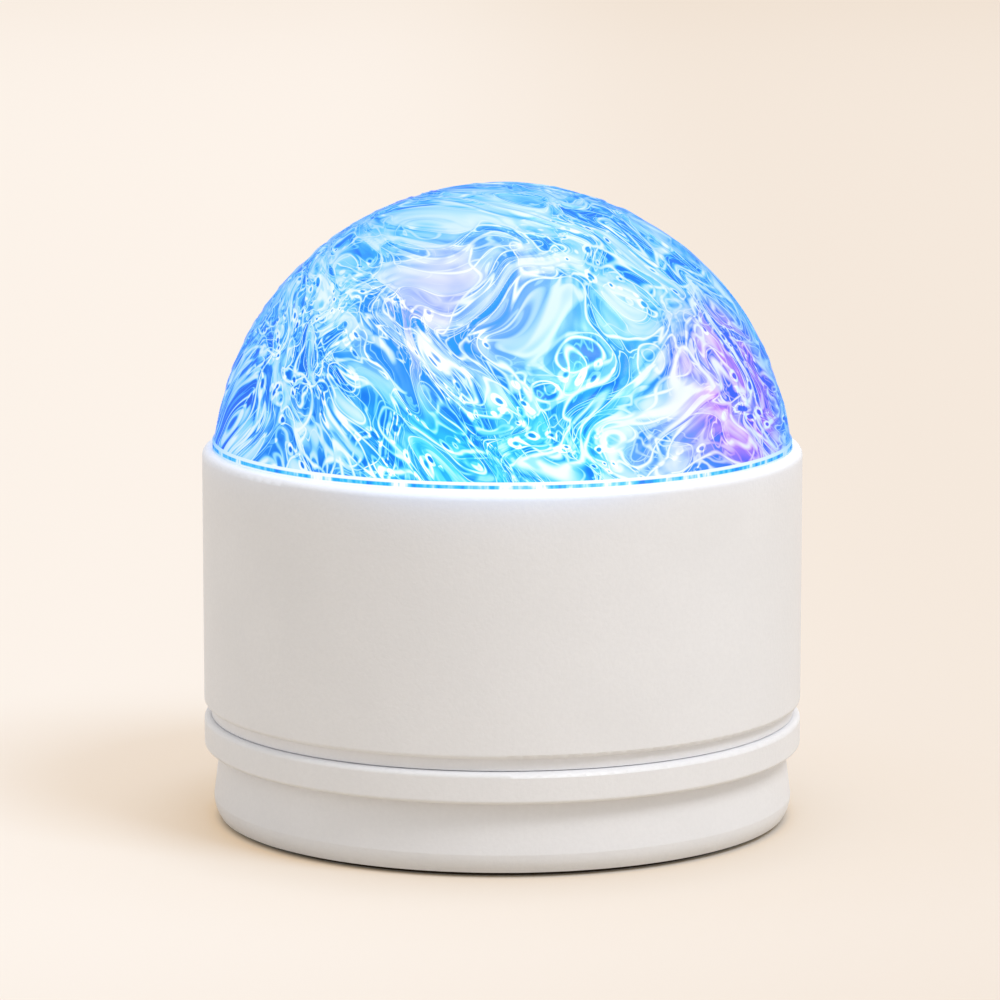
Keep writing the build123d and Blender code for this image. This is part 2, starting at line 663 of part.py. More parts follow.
def gear_motor():
    """Gearbox with mounting ears and a pilot boss, the motor can on top and a terminal block."""
    gearbox_top = PLATE_TOP + GEARBOX_HEIGHT
    can_top = gearbox_top + CAN_HEIGHT
    can = fillet(rod(CAN_RADIUS, gearbox_top, can_top).edges().sort_by(Axis.Z)[-1], CAN_ROUND)
    ears = make_hull(
        [edge for side in (-1, 1) for edge in (Pos(0, side * EAR_REACH) * Circle(EAR_RADIUS)).edges()]
    )
    ears = extrude(Pos(0, 0, PLATE_TOP) * ears, amount=EAR_THICKNESS)
    holes = [rod(SCREW_HOLE_RADIUS, PLATE_TOP, gearbox_top, 0, side * EAR_REACH) for side in (-1, 1)]
    pilot = rod(PILOT_RADIUS, SPIGOT_TOP, PLATE_TOP)
    reach = CAN_RADIUS + TERMINAL_STAND
    block = Pos(-reach / 2, 0, LEAD_EXIT) * Box(reach, TERMINAL_WIDTH, TERMINAL_HEIGHT)
    bore = rod(SHAFT_RADIUS + RUNNING_CLEARANCE, SPIGOT_TOP, PLATE_TOP + SHAFT_DEPTH + RUNNING_CLEARANCE)
    motor = rod(MOTOR_RADIUS, PLATE_TOP, gearbox_top) + can + ears + pilot + block
    return Pos(GEAR_CENTRE, 0, 0) * (motor - holes - bore)


def motor_screws():
    """Screws through the motor's ears into the tower's plate."""
    seat = PLATE_TOP + EAR_THICKNESS
    grip = EAR_THICKNESS + MOTOR_SCREW_BITE
    return Compound([screw_down(grip, GEAR_CENTRE, side * EAR_REACH, seat) for side in (-1, 1)])


# Light tower


def light_tower():
    """Plate on the spigot that carries the motor, with the hollow column and its head flange."""
    column = turned(
        [
            (WIRE_HOLE_RADIUS, SPIGOT_TOP),
            (PLATE_RADIUS, SPIGOT_TOP),
            (PLATE_RADIUS, PLATE_TOP),
            (TOWER_RADIUS, PLATE_TOP),
            (TOWER_RADIUS, TOWER_TOP - HEAD_THICKNESS),
            (HEAD_RADIUS, TOWER_TOP - HEAD_THICKNESS),
            (HEAD_RADIUS, TOWER_TOP),
            (TOWER_BORE, TOWER_TOP),
            (TOWER_BORE, PLATE_TOP),
            (WIRE_HOLE_RADIUS, PLATE_TOP),
        ]
    )
    boss = rod(TOWER_BOSS_RADIUS, PLATE_TOP, PLATE_TOP + TOWER_BOSS_HEIGHT, TOWER_SCREW_CIRCLE)
    pilot_top = SPIGOT_TOP + TOWER_SCREW_BITE + SCREW_TIP_ROOM
    boss_pilot = rod(SCREW_RADIUS, SPIGOT_TOP, pilot_top, TOWER_SCREW_CIRCLE)
    start = 180 / TOWER_SCREW_COUNT
    column = column + around(boss, TOWER_SCREW_COUNT, start) - around(boss_pilot, TOWER_SCREW_COUNT, start)
    clamp_pilot = rod(SCREW_RADIUS, TOWER_TOP - HEAD_THICKNESS, TOWER_TOP, CLAMP_SCREW_CIRCLE)
    motor_pilots = [
        rod(SCREW_RADIUS, SPIGOT_TOP, PLATE_TOP, GEAR_CENTRE, side * EAR_REACH) for side in (-1, 1)
    ]
    motor_hole = rod(PILOT_RADIUS + FIT_CLEARANCE, SPIGOT_TOP, PLATE_TOP, GEAR_CENTRE)
    exit_length = TOWER_RADIUS + CUT_OVERRUN
    exit_hole = Pos(exit_length / 2, 0, LEAD_EXIT) * Rot(0, 90, 0) * Cylinder(LEAD_HOLE_RADIUS, exit_length)
    return column - around(clamp_pilot, CLAMP_SCREW_COUNT) - motor_pilots - motor_hole - exit_hole


def tower_screws():
    """Screws from inside the spigot up into the tower."""
    seat = SPIGOT_TOP - SPIGOT_FLANGE_THICKNESS
    one = screw_up(SPIGOT_FLANGE_THICKNESS + TOWER_SCREW_BITE, TOWER_SCREW_CIRCLE, 0, seat)
    return Compound(around(one, TOWER_SCREW_COUNT, 180 / TOWER_SCREW_COUNT))


def heat_sink():
    """Aluminium disc on the tower's head with a slotted plug hanging in the bore."""
    plug_radius = TOWER_BORE - FIT_CLEARANCE
    plug_bottom = TOWER_TOP - SINK_PLUG_HEIGHT
    sink = rod(SINK_RADIUS, TOWER_TOP, SINK_TOP) + rod(plug_radius, plug_bottom, TOWER_TOP)
    slot_height = SINK_PLUG_HEIGHT - SINK_THICKNESS
    slot = Box(2 * plug_radius, SINK_SLOT_WIDTH, slot_height, align=STANDING)
    count = math.floor(plug_radius / SINK_SLOT_PITCH)
    slots = [
        Pos(0, side * (index + 0.5) * SINK_SLOT_PITCH, plug_bottom) * slot
        for index in range(count)
        for side in (-1, 1)
    ]
    return sink - slots - rod(LEAD_HOLE_RADIUS, plug_bottom, SINK_TOP)


def led_board():
    """Round metal-core board."""
    return rod(LED_BOARD_RADIUS, SINK_TOP, LED_BOARD_TOP)


def leds():
    """Ring of square light-emitting diodes, each with a small domed lens."""
    package = Box(LED_SIZE, LED_SIZE, LED_HEIGHT, align=STANDING)
    bulb = Sphere(LED_LENS_RADIUS, arc_size1=0)
    one = package + Pos(0, 0, LED_HEIGHT) * bulb
    return Compound(around(Pos(LED_CIRCLE, 0, LED_BOARD_TOP) * one, LED_COUNT))


def ripple_lens():
    """Clear cap with concentric ripples; its inner step clamps the heat sink."""
    skirt_top = TOWER_TOP + LENS_SKIRT_HEIGHT
    flange_top = TOWER_TOP + LENS_FLANGE_THICKNESS
    radius = (LENS_RADIUS**2 + LENS_RISE**2) / (2 * LENS_RISE)
    centre = skirt_top + LENS_RISE - radius
    reach = math.asin(LENS_RADIUS / radius)

    def on_cap(share, lift=0):
        """Point on the cap, from the apex at 0 to the skirt at 1."""
        angle = reach * share
        return (radius + lift) * math.sin(angle), centre + (radius + lift) * math.cos(angle)

    ripples = [
        ThreePointArc(
            on_cap(index / LENS_RIPPLES),
            on_cap((index + 0.5) / LENS_RIPPLES, RIPPLE_HEIGHT),
            on_cap((index + 1) / LENS_RIPPLES),
        )
        for index in range(LENS_RIPPLES)
    ]
    step = LED_BOARD_RADIUS + FIT_CLEARANCE
    inner = radius - LENS_WALL
    step_top = centre + math.sqrt(inner**2 - step**2)
    middle = on_cap(0.5, -LENS_WALL)
    outline = Polyline(
        (LENS_RADIUS, skirt_top),
        (LENS_RADIUS, flange_top),
        (LENS_FLANGE_RADIUS, flange_top),
        (LENS_FLANGE_RADIUS, TOWER_TOP),
        (LENS_INNER, TOWER_TOP),
        (LENS_INNER, SINK_TOP),
        (step, SINK_TOP),
        (step, step_top),
    )
    inside = ThreePointArc((step, step_top), middle, (0, centre + inner))
    axis = Line((0, centre + inner), (0, skirt_top + LENS_RISE))
    return revolve(Plane.XZ * make_face([*ripples, outline, inside, axis]), Axis.Z)


def lens_clamp():
    """Stepped ring that holds the lens flange on the tower's head."""
    flange_top = TOWER_TOP + LENS_FLANGE_THICKNESS
    top = flange_top + CLAMP_THICKNESS
    lip = LENS_RADIUS + FIT_CLEARANCE
    ring = turned(
        [
            (CLAMP_INNER, TOWER_TOP),
            (HEAD_RADIUS, TOWER_TOP),
            (HEAD_RADIUS, top),
            (lip, top),
            (lip, flange_top),
            (CLAMP_INNER, flange_top),
        ]
    )
    return ring - around(rod(SCREW_HOLE_RADIUS, TOWER_TOP, top, CLAMP_SCREW_CIRCLE), CLAMP_SCREW_COUNT)


def clamp_screws():
    """Screws through the clamp ring into the tower's head."""
    height = LENS_FLANGE_THICKNESS + CLAMP_THICKNESS
    one = screw_down(height + CLAMP_SCREW_BITE, CLAMP_SCREW_CIRCLE, 0, TOWER_TOP + height)
    return Compound(around(one, CLAMP_SCREW_COUNT))


# Pedestal


def base_ring():
    """Ring with the deck inside it, the bearing spigot on top and four screw posts below."""
    ring_inner = DRUM_RADIUS - RING_WALL
    flange_bottom = SPIGOT_TOP - SPIGOT_FLANGE_THICKNESS
    body = turned(
        [
            (ring_inner, RING_BOTTOM),
            (DRUM_RADIUS, RING_BOTTOM),
            (DRUM_RADIUS, RING_TOP),
            (SPIGOT_RADIUS, RING_TOP),
            (SPIGOT_RADIUS, SPIGOT_TOP),
            (WIRE_HOLE_RADIUS, SPIGOT_TOP),
            (WIRE_HOLE_RADIUS, flange_bottom),
            (SPIGOT_BORE, flange_bottom),
            (SPIGOT_BORE, DECK_BOTTOM),
            (ring_inner, DECK_BOTTOM),
        ],
        [((DRUM_RADIUS, RING_BOTTOM), RING_BOTTOM_ROUND), ((DRUM_RADIUS, RING_TOP), RING_TOP_ROUND)],
    )
    reach = GLIDE_WIDTH / 2 + FIT_CLEARANCE
    groove = tube(GEAR_SCREW_CIRCLE + reach, GEAR_SCREW_CIRCLE - reach, RING_TOP - GLIDE_SEAT, RING_TOP)
    screw_hole = rod(SCREW_HOLE_RADIUS, flange_bottom, SPIGOT_TOP, TOWER_SCREW_CIRCLE)
    posts = at_corners(rod(POST_RADIUS, POST_BOTTOM, DECK_BOTTOM))
    pilots = at_corners(rod(SCREW_RADIUS, POST_BOTTOM, POST_BOTTOM + BASE_SCREW_BITE + SCREW_TIP_ROOM))
    tower_holes = around(screw_hole, TOWER_SCREW_COUNT, 180 / TOWER_SCREW_COUNT)
    return body + posts - pilots - groove - tower_holes


def toward_back(angle, radius, height):
    """Plane that faces inward at the back of the pedestal, turned from the rear centre by an angle."""
    turn = math.radians(angle)
    outward = Vector(math.sin(turn), math.cos(turn), 0)
    origin = outward * radius + Vector(0, 0, height)
    return Plane(origin=origin, x_dir=(math.cos(turn), -math.sin(turn), 0), z_dir=-outward)


def foot_shell():
    """Pedestal wall: flare, belly and toe outside, charging port and button hole at the back."""
    middle = (RING_BOTTOM + BELLY) / 2
    shoulder = middle + BELLY_HEIGHT
    profile = make_face(
        [
            Polyline(
                (THROAT_INNER, DECK_BOTTOM),
                (THROAT_RADIUS, DECK_BOTTOM),
                (THROAT_RADIUS, RING_BOTTOM),
                (FOOT_RADIUS, BELLY),
            ),
            TangentArc((FOOT_RADIUS, BELLY), (TOE_RADIUS, FOOT_BOTTOM), tangent=(0, -1)),
            Polyline(
                (TOE_RADIUS, FOOT_BOTTOM),
                (TOE_INNER, FOOT_BOTTOM),
                (TOE_INNER, COVER_TOP),
                (FOOT_INNER, BELLY),
                (FOOT_INNER, middle),
                (THROAT_INNER, shoulder),
                (THROAT_INNER, DECK_BOTTOM),
            ),
        ]
    )
    shell = revolve(Plane.XZ * profile, Axis.Z)
    port_plane = toward_back(0, DRUM_RADIUS, USB_MIDDLE)
    port_size = (USB_WIDTH + 2 * PORT_GAP, USB_HEIGHT + 2 * PORT_GAP)
    frame_size = (port_size[0] + 2 * PORT_FRAME, port_size[1] + 2 * PORT_FRAME)
    port = extrude(port_plane * SlotOverall(*port_size), amount=USB_LENGTH)
    frame = extrude(port_plane * SlotOverall(*frame_size), amount=FOOT_INSET + PORT_FRAME_DEPTH)
    button_plane = toward_back(BUTTON_ANGLE, DRUM_RADIUS, BUTTON_HEIGHT)
    button_hole = extrude(button_plane * Circle(BUTTON_HOLE_RADIUS), amount=USB_LENGTH)
    return shell - port - frame - button_hole


def bottom_cover():
    """Disc that closes the pedestal, with cups for the base screws and standoffs for the board."""
    cover = rod(COVER_RADIUS, FOOT_BOTTOM, COVER_TOP)
    cover = cover + at_corners(rod(POST_RADIUS, COVER_TOP, POST_BOTTOM))
    seat = FOOT_BOTTOM + CUP_SINK + SCREW_HEAD_HEIGHT
    cups = at_corners(rod(SCREW_HEAD_RADIUS + TURNING_GAP, FOOT_BOTTOM, seat))
    holes = at_corners(rod(SCREW_HOLE_RADIUS, seat, POST_BOTTOM))
    depth = BOARD_SCREW_BITE + SCREW_TIP_ROOM
    standoffs = at_board_screws(rod(STANDOFF_RADIUS, COVER_TOP, BOARD_BOTTOM))
    pilots = at_board_screws(rod(SCREW_RADIUS, BOARD_BOTTOM - depth, BOARD_BOTTOM))
    return cover + standoffs - cups - holes - pilots


def rubber_pad():
    """Non-slip ring under the toe and the cover's edge."""
    return turned(
        [(PAD_INNER, 0), (PAD_RADIUS, 0), (PAD_RADIUS, FOOT_BOTTOM), (PAD_INNER, FOOT_BOTTOM)],
        [((PAD_INNER, 0), PAD_EDGE_ROUND), ((PAD_RADIUS, 0), PAD_EDGE_ROUND)],
    )


def base_screws():
    """Screws from the bottom cover into the posts of the base ring."""
    seat = FOOT_BOTTOM + CUP_SINK + SCREW_HEAD_HEIGHT
    return Compound(at_corners(screw_up(CUP_WEB + BASE_SCREW_BITE, 0, 0, seat)))


# Electronics in the pedestal


def at_board_screws(shape):
    """Copies of a shape at the board's two screws."""
    return [Pos(side * BOARD_SCREW_X, BOARD_SCREW_Y, 0) * shape for side in (-1, 1)]


def control_board():
    """Segment-shaped board with a tab that carries the charging socket."""
    middle = BOARD_RADIUS - BOARD_DEPTH / 2
    outline = Circle(BOARD_RADIUS) & Pos(0, middle) * Rectangle(BOARD_WIDTH, BOARD_DEPTH)
    outline = outline + Pos(0, (middle + TAB_END) / 2) * Rectangle(TAB_WIDTH, TAB_END - middle)
    board = extrude(Pos(0, 0, BOARD_BOTTOM) * outline, amount=BOARD_THICKNESS)
    return board - at_board_screws(rod(SCREW_HOLE_RADIUS, BOARD_BOTTOM, BOARD_TOP))


def board_screws():
    """Screws that hold the board on its standoffs."""
    grip = BOARD_THICKNESS + BOARD_SCREW_BITE
    return Compound(at_board_screws(screw_down(grip, 0, 0, BOARD_TOP)))


def plug_places():
    """X places of the plugs for the cell, the lights and the motor."""
    return [-2 * PLUG_PITCH, -PLUG_PITCH, PLUG_PITCH]


def board_components():
    """Lead plugs along the board's front edge, two chips and a coil behind them."""
    plug = Box(PLUG_WIDTH, PLUG_DEPTH, PLUG_HEIGHT, align=STANDING)
    plugs = [Pos(x, PLUG_FRONT + PLUG_DEPTH / 2, BOARD_TOP) * plug for x in plug_places()]
    row = BOARD_FRONT + CHIP_SETBACK
    chip = Box(CHIP_SIZE, CHIP_SIZE, CHIP_HEIGHT, align=STANDING)
    chips = [Pos(x, row, BOARD_TOP) * chip for x in (0, -CHIP_PITCH)]
    return Compound([*plugs, *chips, rod(COIL_RADIUS, BOARD_TOP, BOARD_TOP + COIL_HEIGHT, CHIP_PITCH, row)])


def usb_socket():
    """Charging socket: steel shell, closed back and contact tongue."""
    front = toward_back(0, USB_FRONT, USB_MIDDLE)
    shell = extrude(front * SlotOverall(USB_WIDTH, USB_HEIGHT), amount=USB_LENGTH)
    mouth_size = (USB_WIDTH - 2 * USB_SHELL, USB_HEIGHT - 2 * USB_SHELL)
    mouth = extrude(front * SlotOverall(*mouth_size), amount=USB_LENGTH - USB_BACK)
    tongue_front = toward_back(0, USB_FRONT - USB_LENGTH + USB_BACK + USB_TONGUE_LENGTH, USB_MIDDLE)
    tongue = tongue_front * Rectangle(USB_TONGUE_WIDTH, USB_TONGUE_THICKNESS)
    return shell - mouth + extrude(tongue, amount=USB_TONGUE_LENGTH)


def tact_switch():
    """Side-push switch at the board's edge, in line with the power button."""
    middle = SWITCH_FRONT - SWITCH_DEPTH / 2
    plane = toward_back(BUTTON_ANGLE, middle, BOARD_TOP + SWITCH_HEIGHT / 2)
    body = plane * Box(SWITCH_WIDTH, SWITCH_HEIGHT, SWITCH_DEPTH)
    tip = toward_back(BUTTON_ANGLE, PLUNGER_TIP, BUTTON_HEIGHT)
    return body + extrude(tip * Circle(PLUNGER_RADIUS), amount=PLUNGER_LENGTH)


def power_button():
    """Round push button with a retaining flange behind the wall."""
    front = toward_back(BUTTON_ANGLE, BUTTON_FRONT, BUTTON_HEIGHT)
    cap = extrude(front * Circle(BUTTON_RADIUS), amount=BUTTON_FRONT - BUTTON_BACK)
    face_edge = cap.edges().filter_by(GeomType.CIRCLE).sort_by_distance(front.origin)[0]
    cap = fillet(face_edge, BUTTON_FACE_ROUND)
    shoulder = toward_back(BUTTON_ANGLE, BUTTON_SHOULDER, BUTTON_HEIGHT)
    return cap + extrude(shoulder * Circle(BUTTON_RADIUS + BUTTON_FLANGE), amount=BUTTON_FLANGE_THICKNESS)


def battery():
    """Flat pouch cell."""
    cell = Box(CELL_LENGTH, CELL_WIDTH, CELL_THICKNESS, align=STANDING)
    cell = fillet(cell.edges(), CELL_ROUND)
    return Pos(0, CELL_MIDDLE_Y, CELL_BOTTOM) * cell


def battery_pad():
    """Foam under the cell."""
    pad = Box(CELL_LENGTH - 2 * FOAM_INSET, CELL_WIDTH - 2 * FOAM_INSET, FOAM_THICKNESS, align=STANDING)
    return Pos(0, CELL_MIDDLE_Y, COVER_TOP) * pad


def lead(*points):
    """Round lead along straight runs with rounded bends."""
    path = FilletPolyline(*points, radius=LEAD_BEND)
    return sweep(Plane(origin=path @ 0, z_dir=path % 0) * Circle(LEAD_RADIUS), path=path)


def led_leads():
    """Lead from the board up the axis of the tower to the light board."""
    x = plug_places()[1]
    return lead(
        (x, PLUG_FRONT, PLUG_MIDDLE), (x, LEAD_TURN, PLUG_MIDDLE), (0, 0, RING_TOP), (0, 0, SINK_TOP)
    )


def motor_leads():
    """Lead from the board up the tower and out to the motor's terminals."""
    x = plug_places()[2]
    terminal = GEAR_CENTRE - CAN_RADIUS - TERMINAL_STAND
    return lead(
        (x, PLUG_FRONT, PLUG_MIDDLE),
        (x, LEAD_TURN, PLUG_MIDDLE),
        (LEAD_PITCH, 0, RING_TOP),
        (LEAD_PITCH, 0, LEAD_EXIT),
        (terminal, 0, LEAD_EXIT),
    )


def battery_leads():
    """Lead from the cell to the board."""
    x = plug_places()[0]
    cell_edge = CELL_MIDDLE_Y + CELL_WIDTH / 2
    cell_height = CELL_BOTTOM + CELL_THICKNESS / 2
    knee = (PLUG_FRONT - cell_edge) * LEAD_KNEE_SHARE
    return lead(
        (x, cell_edge, cell_height),
        (x, cell_edge + knee, cell_height),
        (x, PLUG_FRONT - knee, PLUG_MIDDLE),
        (x, PLUG_FRONT, PLUG_MIDDLE),
    )


PIECES = [
    dome,
    dome_seal,
    dome_screws,
    drum,
    reflector_tray,
    turntable,
    turntable_screws,
    hub_bush,
    thrust_washer,
    glide_ring,
    ring_gear,
    gear_screws,
    drive_pinion,
    motor_shaft,
    gear_motor,
    motor_screws,
    light_tower,
    tower_screws,
    heat_sink,
    led_board,
    leds,
    ripple_lens,
    lens_clamp,
    clamp_screws,
    base_ring,
    foot_shell,
    bottom_cover,
    rubber_pad,
    base_screws,
    control_board,
    board_components,
    board_screws,
    usb_socket,
    tact_switch,
    power_button,
    battery,
    battery_pad,
    led_leads,
    motor_leads,
    battery_leads,
]

os.makedirs("parts", exist_ok=True)
for piece in PIECES:
    export_step(piece(), f"parts/{piece.__name__}.step")
print(f"{len(PIECES)} nodes, gear teeth {RING_TEETH} and {PINION_TEETH}, height {DOME_TOP:.2f}")
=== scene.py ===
import json
import math

import bmesh
import bpy
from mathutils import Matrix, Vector


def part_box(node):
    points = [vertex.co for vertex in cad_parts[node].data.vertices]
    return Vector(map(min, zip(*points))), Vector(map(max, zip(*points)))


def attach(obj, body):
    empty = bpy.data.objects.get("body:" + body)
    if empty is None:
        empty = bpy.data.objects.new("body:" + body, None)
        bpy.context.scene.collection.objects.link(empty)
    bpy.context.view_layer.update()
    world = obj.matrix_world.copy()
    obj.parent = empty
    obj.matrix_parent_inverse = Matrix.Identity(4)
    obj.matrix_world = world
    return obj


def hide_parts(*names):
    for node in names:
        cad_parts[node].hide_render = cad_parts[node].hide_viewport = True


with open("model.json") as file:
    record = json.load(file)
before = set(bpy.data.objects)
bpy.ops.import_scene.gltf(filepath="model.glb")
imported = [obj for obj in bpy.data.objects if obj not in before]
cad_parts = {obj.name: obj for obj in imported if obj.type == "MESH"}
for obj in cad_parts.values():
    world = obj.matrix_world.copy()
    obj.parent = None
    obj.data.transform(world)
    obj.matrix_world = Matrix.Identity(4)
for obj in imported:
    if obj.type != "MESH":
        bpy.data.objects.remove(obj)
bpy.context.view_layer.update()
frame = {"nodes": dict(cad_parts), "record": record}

# Ripple light projector, in metres. Z is the turning axis, the table is at zero and the front faces -Y.
# A passage is (low, high, start, end): as a value goes from low to high, the result goes from start to end,
# and where a passage has two numbers, these are its low and high or its start and end.

# Camera: a square picture, aimed at the axis of the object
IMAGE_SIDE = 1000
SENSOR_MILLIMETRES = 36.0
FOCAL_PIXELS = 5205.0
CAMERA_DISTANCE = 1.0
CAMERA_PITCH = math.radians(9.48)
AIM_HEIGHT = 0.0612
AXIS_OFFSET_PIXELS = 2.3
NEAR_CLIP = 0.05

# Dome: the CAD node gives its box, and these are the sizes inside it
DOME_LOW, DOME_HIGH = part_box("dome")
DRUM_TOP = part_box("drum")[1].z
BAND_HEIGHT = 0.0013
BAND_STEP = 0.0003
DOME_WALL = 0.0022
FLANGE_WIDTH = 0.0046
FLANGE_THICKNESS = 0.0034
SEGMENTS = 640
OUTER_RINGS = 220
INNER_RINGS = 24
RIDGE_HEIGHT = 0.00035
RIDGE_FADE = 0.004

SKIRT_RADIUS = DOME_HIGH.x
BAND_TOP = DRUM_TOP + BAND_HEIGHT
CAP_FOOT = SKIRT_RADIUS - BAND_STEP
CAP_RISE = DOME_HIGH.z - BAND_TOP
CAP_RADIUS = (CAP_FOOT**2 + CAP_RISE**2) / (2 * CAP_RISE)
CAP_CENTRE = Vector((0, 0, DOME_HIGH.z - CAP_RADIUS))


def srgb(red, green, blue):
    """Linear colour of an 8-bit screen colour."""

    def linear(level):
        level = level / 255
        return level / 12.92 if level <= 0.04045 else ((level + 0.055) / 1.055) ** 2.4

    return linear(red), linear(green), linear(blue), 1.0


def shaded(colour, level):
    """Colour brought down to a level."""
    return (*(level * part for part in colour[:3]), 1.0)


# Bluish coat of the dome, which darkens its colours most in red, the level that makes up for it,
# the surface, and how much of its colour is lost where other light falls on it
COAT_TINT = (0.71, 0.84, 1.0, 1.0)
COAT_IOR = 1.01
DOME_LEVEL = 1.0 / COAT_TINT[0]
DOME_ROUGHNESS = 0.30
DOME_SPECULAR = 0.25
LOST_COLOUR = 0.85


def through_coat(red, green, blue):
    """Colour that shows as an 8-bit screen colour at the dome's level and through its coat."""
    shown = srgb(red, green, blue)
    return (*(part * COAT_TINT[0] / tint for part, tint in zip(shown[:3], COAT_TINT)), 1.0)


# Colours
BLACK = (0.0, 0.0, 0.0, 1.0)
LAMP_WHITE = (1.0, 1.0, 1.0, 1.0)
WHITE_PLASTIC = srgb(236, 237, 242)
DARK_RUBBER = srgb(52, 38, 28)
SOCKET_BLACK = srgb(22, 22, 24)
COPPER_UNDER_MASK = srgb(96, 150, 84)
CREAM = srgb(250, 239, 226)
RIM_GLOW = srgb(110, 180, 255)
NAVY = through_coat(0, 96, 222)
DEEP_BLUE = through_coat(12, 128, 242)
AZURE = through_coat(56, 174, 249)
SKY = through_coat(130, 214, 252)
PALE = through_coat(202, 235, 253)
OCEAN = through_coat(10, 130, 240)
TURQUOISE = through_coat(40, 190, 250)
CYAN = through_coat(90, 228, 252)
PALE_CYAN = through_coat(190, 247, 252)
INDIGO = through_coat(75, 85, 240)
PINK = through_coat(205, 135, 245)
PALE_PINK = through_coat(243, 208, 250)
LAVENDER = through_coat(160, 168, 245)
PALE_LAVENDER = through_coat(218, 216, 250)
WHITE = through_coat(255, 255, 255)

# Ripples: the dome's headings are scaled, spread out toward the top, tilted and moved to a place in the noise
PATTERN_SCALE = 0.6
PATTERN_SPREAD = 0.6
PATTERN_TILT = 0.45
PATTERN_PLACE = (6.0, 0.9, 5.1)

# Bends of the pattern, one after the other: scale and reach of the noise that pushes it about
BENDS = [(1.6, 0.60), (5.4, 0.16)]
BEND_DETAIL = 0.4

# Currents that the strands follow: place and scale of their noise
CURRENTS = {"main": ((0.0, 0.0, 0.0), 4.2), "counter": ((3.7, 9.2, 1.4), 3.2)}
CURRENT_TEXTURE = {"detail": 0.6, "roughness": 0.45}

# Strands, drawn out along a current: the current, their change across and along it, and their start
STRANDS = {
    "ribbon": ("counter", 5.5, 2.6, 2.9),
    "broad": ("main", 7.5, 5.5, 3.1),
    "narrow": ("main", 12.0, 11.0, 8.7),
    "cross": ("counter", 11.0, 6.5, 6.4),
    "fine": ("counter", 36.0, 20.0, 5.2),
}
STRAND_TEXTURE = {"detail": 0.8, "roughness": 0.45}
MIDDLE = 0.5

# Relief: passages from off a strand's middle to the middle itself, as shares of the ridge height
RELIEF = {"broad": (0.12, 0.0, -0.7, 0.0), "narrow": (0.15, 0.0, -0.3, 0.0)}

# Tone of the light: its mean, the shares of the fields in it, and passages that give sharper bands
CLOUD_TEXTURE = {"scale": 4.0, "detail": 2.0}
MEAN_TONE = 0.48
CLOUD_SHARE = 0.9
STRAND_SHARES = {"narrow": 0.9, "fine": 0.9}
TONE_BANDS = {"broad": (0.40, 0.60, -0.26, 0.22), "cross": (0.41, 0.57, -0.24, 0.16)}
TONE_UPWARD = (0.5, 0.9, 0.0, 0.16)
TONE_RANGE = (-0.20, 1.16, 0.0, 0.90)

# White ribbons: passage of their half width with the cloud, and looks by the share of the half width
RIBBON_WIDTH = (0.36, 0.66, 0.016, 0.048)
RIBBON_LIGHT = (1.15, 0.10, 0.0, 0.96)
BRIM_PLACE = 1.3
BRIM_SHADE = (0.5, 0.0, 0.0, -0.28)

# White lines: strand, the level that the line follows, half width, brightness
LINES = [
    ("broad", 0.50, 0.018, 0.95),
    ("broad", 0.61, 0.011, 0.80),
    ("narrow", 0.50, 0.019, 0.86),
    ("narrow", 0.60, 0.013, 0.68),
    ("cross", 0.50, 0.020, 0.95),
    ("cross", 0.59, 0.010, 0.74),
    ("fine", 0.50, 0.020, 0.55),
]
LINE_OUTER, LINE_INNER = 2.4, 0.1
LINE_FLICKER = (0.36, 0.50, 0.80, 1.0)

# Eyelets: cells per unit, least radius in cells, share of the cells that have none
EYELETS = [(13.0, 0.12, 0.40), (26.0, 0.16, 0.55)]
EYELET_GROWTH = 0.14
EYELET_RANDOMNESS = 0.9
EYELET_CHOICE = 0.03
EYELET_CORE = (1.0, 0.6, 0.0, -0.80)
EYELET_SKIN = (1.8, 1.4, 0.0, 0.30)
EYELET_PATCHES = (0.38, 0.48, 0.0, 1.0)
PATCH_PLACE = (7.3, 2.1, 4.6)
PATCH_TEXTURE = {"scale": 3.0, "detail": 1.0}

# Colours of the light from its darkest to its brightest
BLUE_TONES = [(0.00, DEEP_BLUE), (0.30, AZURE), (0.55, SKY), (0.80, PALE), (1.00, WHITE)]
CYAN_TONES = [(0.05, OCEAN), (0.38, TURQUOISE), (0.68, CYAN), (0.88, PALE_CYAN), (1.00, WHITE)]
TURQUOISE_TONES = [(0.15, OCEAN), (0.60, TURQUOISE), (0.78, CYAN), (0.90, PALE_CYAN), (1.00, WHITE)]
DEEP_TONES = [(0.10, NAVY), (0.48, DEEP_BLUE), (0.66, SKY), (0.85, PALE), (1.00, WHITE)]
PINK_TONES = [(0.15, INDIGO), (0.58, PINK), (0.86, PALE_PINK), (1.00, WHITE)]
LAVENDER_TONES = [(0.00, AZURE), (0.35, LAVENDER), (0.75, PALE_LAVENDER), (1.00, WHITE)]

# Lights inside the dome: direction from its centre, reach in degrees, tones, share
SPOTS = [
    ((-0.02, -0.97, 0.20), 40, CYAN_TONES, 1.0),
    ((-0.18, -0.97, 0.14), 21, TURQUOISE_TONES, 1.0),
    ((-0.14, -0.72, 0.68), 26, LAVENDER_TONES, 0.85),
    ((-0.86, -0.50, 0.10), 42, DEEP_TONES, 1.0),
    ((0.84, -0.52, 0.14), 36, DEEP_TONES, 0.7),
    ((0.80, -0.48, 0.34), 26, PINK_TONES, 1.0),
    ((0.56, -0.80, 0.14), 18, LAVENDER_TONES, 0.5),
    ((-0.55, 0.82, 0.20), 34, CYAN_TONES, 0.9),
    ((0.35, 0.90, 0.30), 26, PINK_TONES, 0.8),
    ((-0.95, 0.25, 0.25), 24, LAVENDER_TONES, 0.8),
    ((0.90, 0.40, 0.10), 30, CYAN_TONES, 0.8),
]
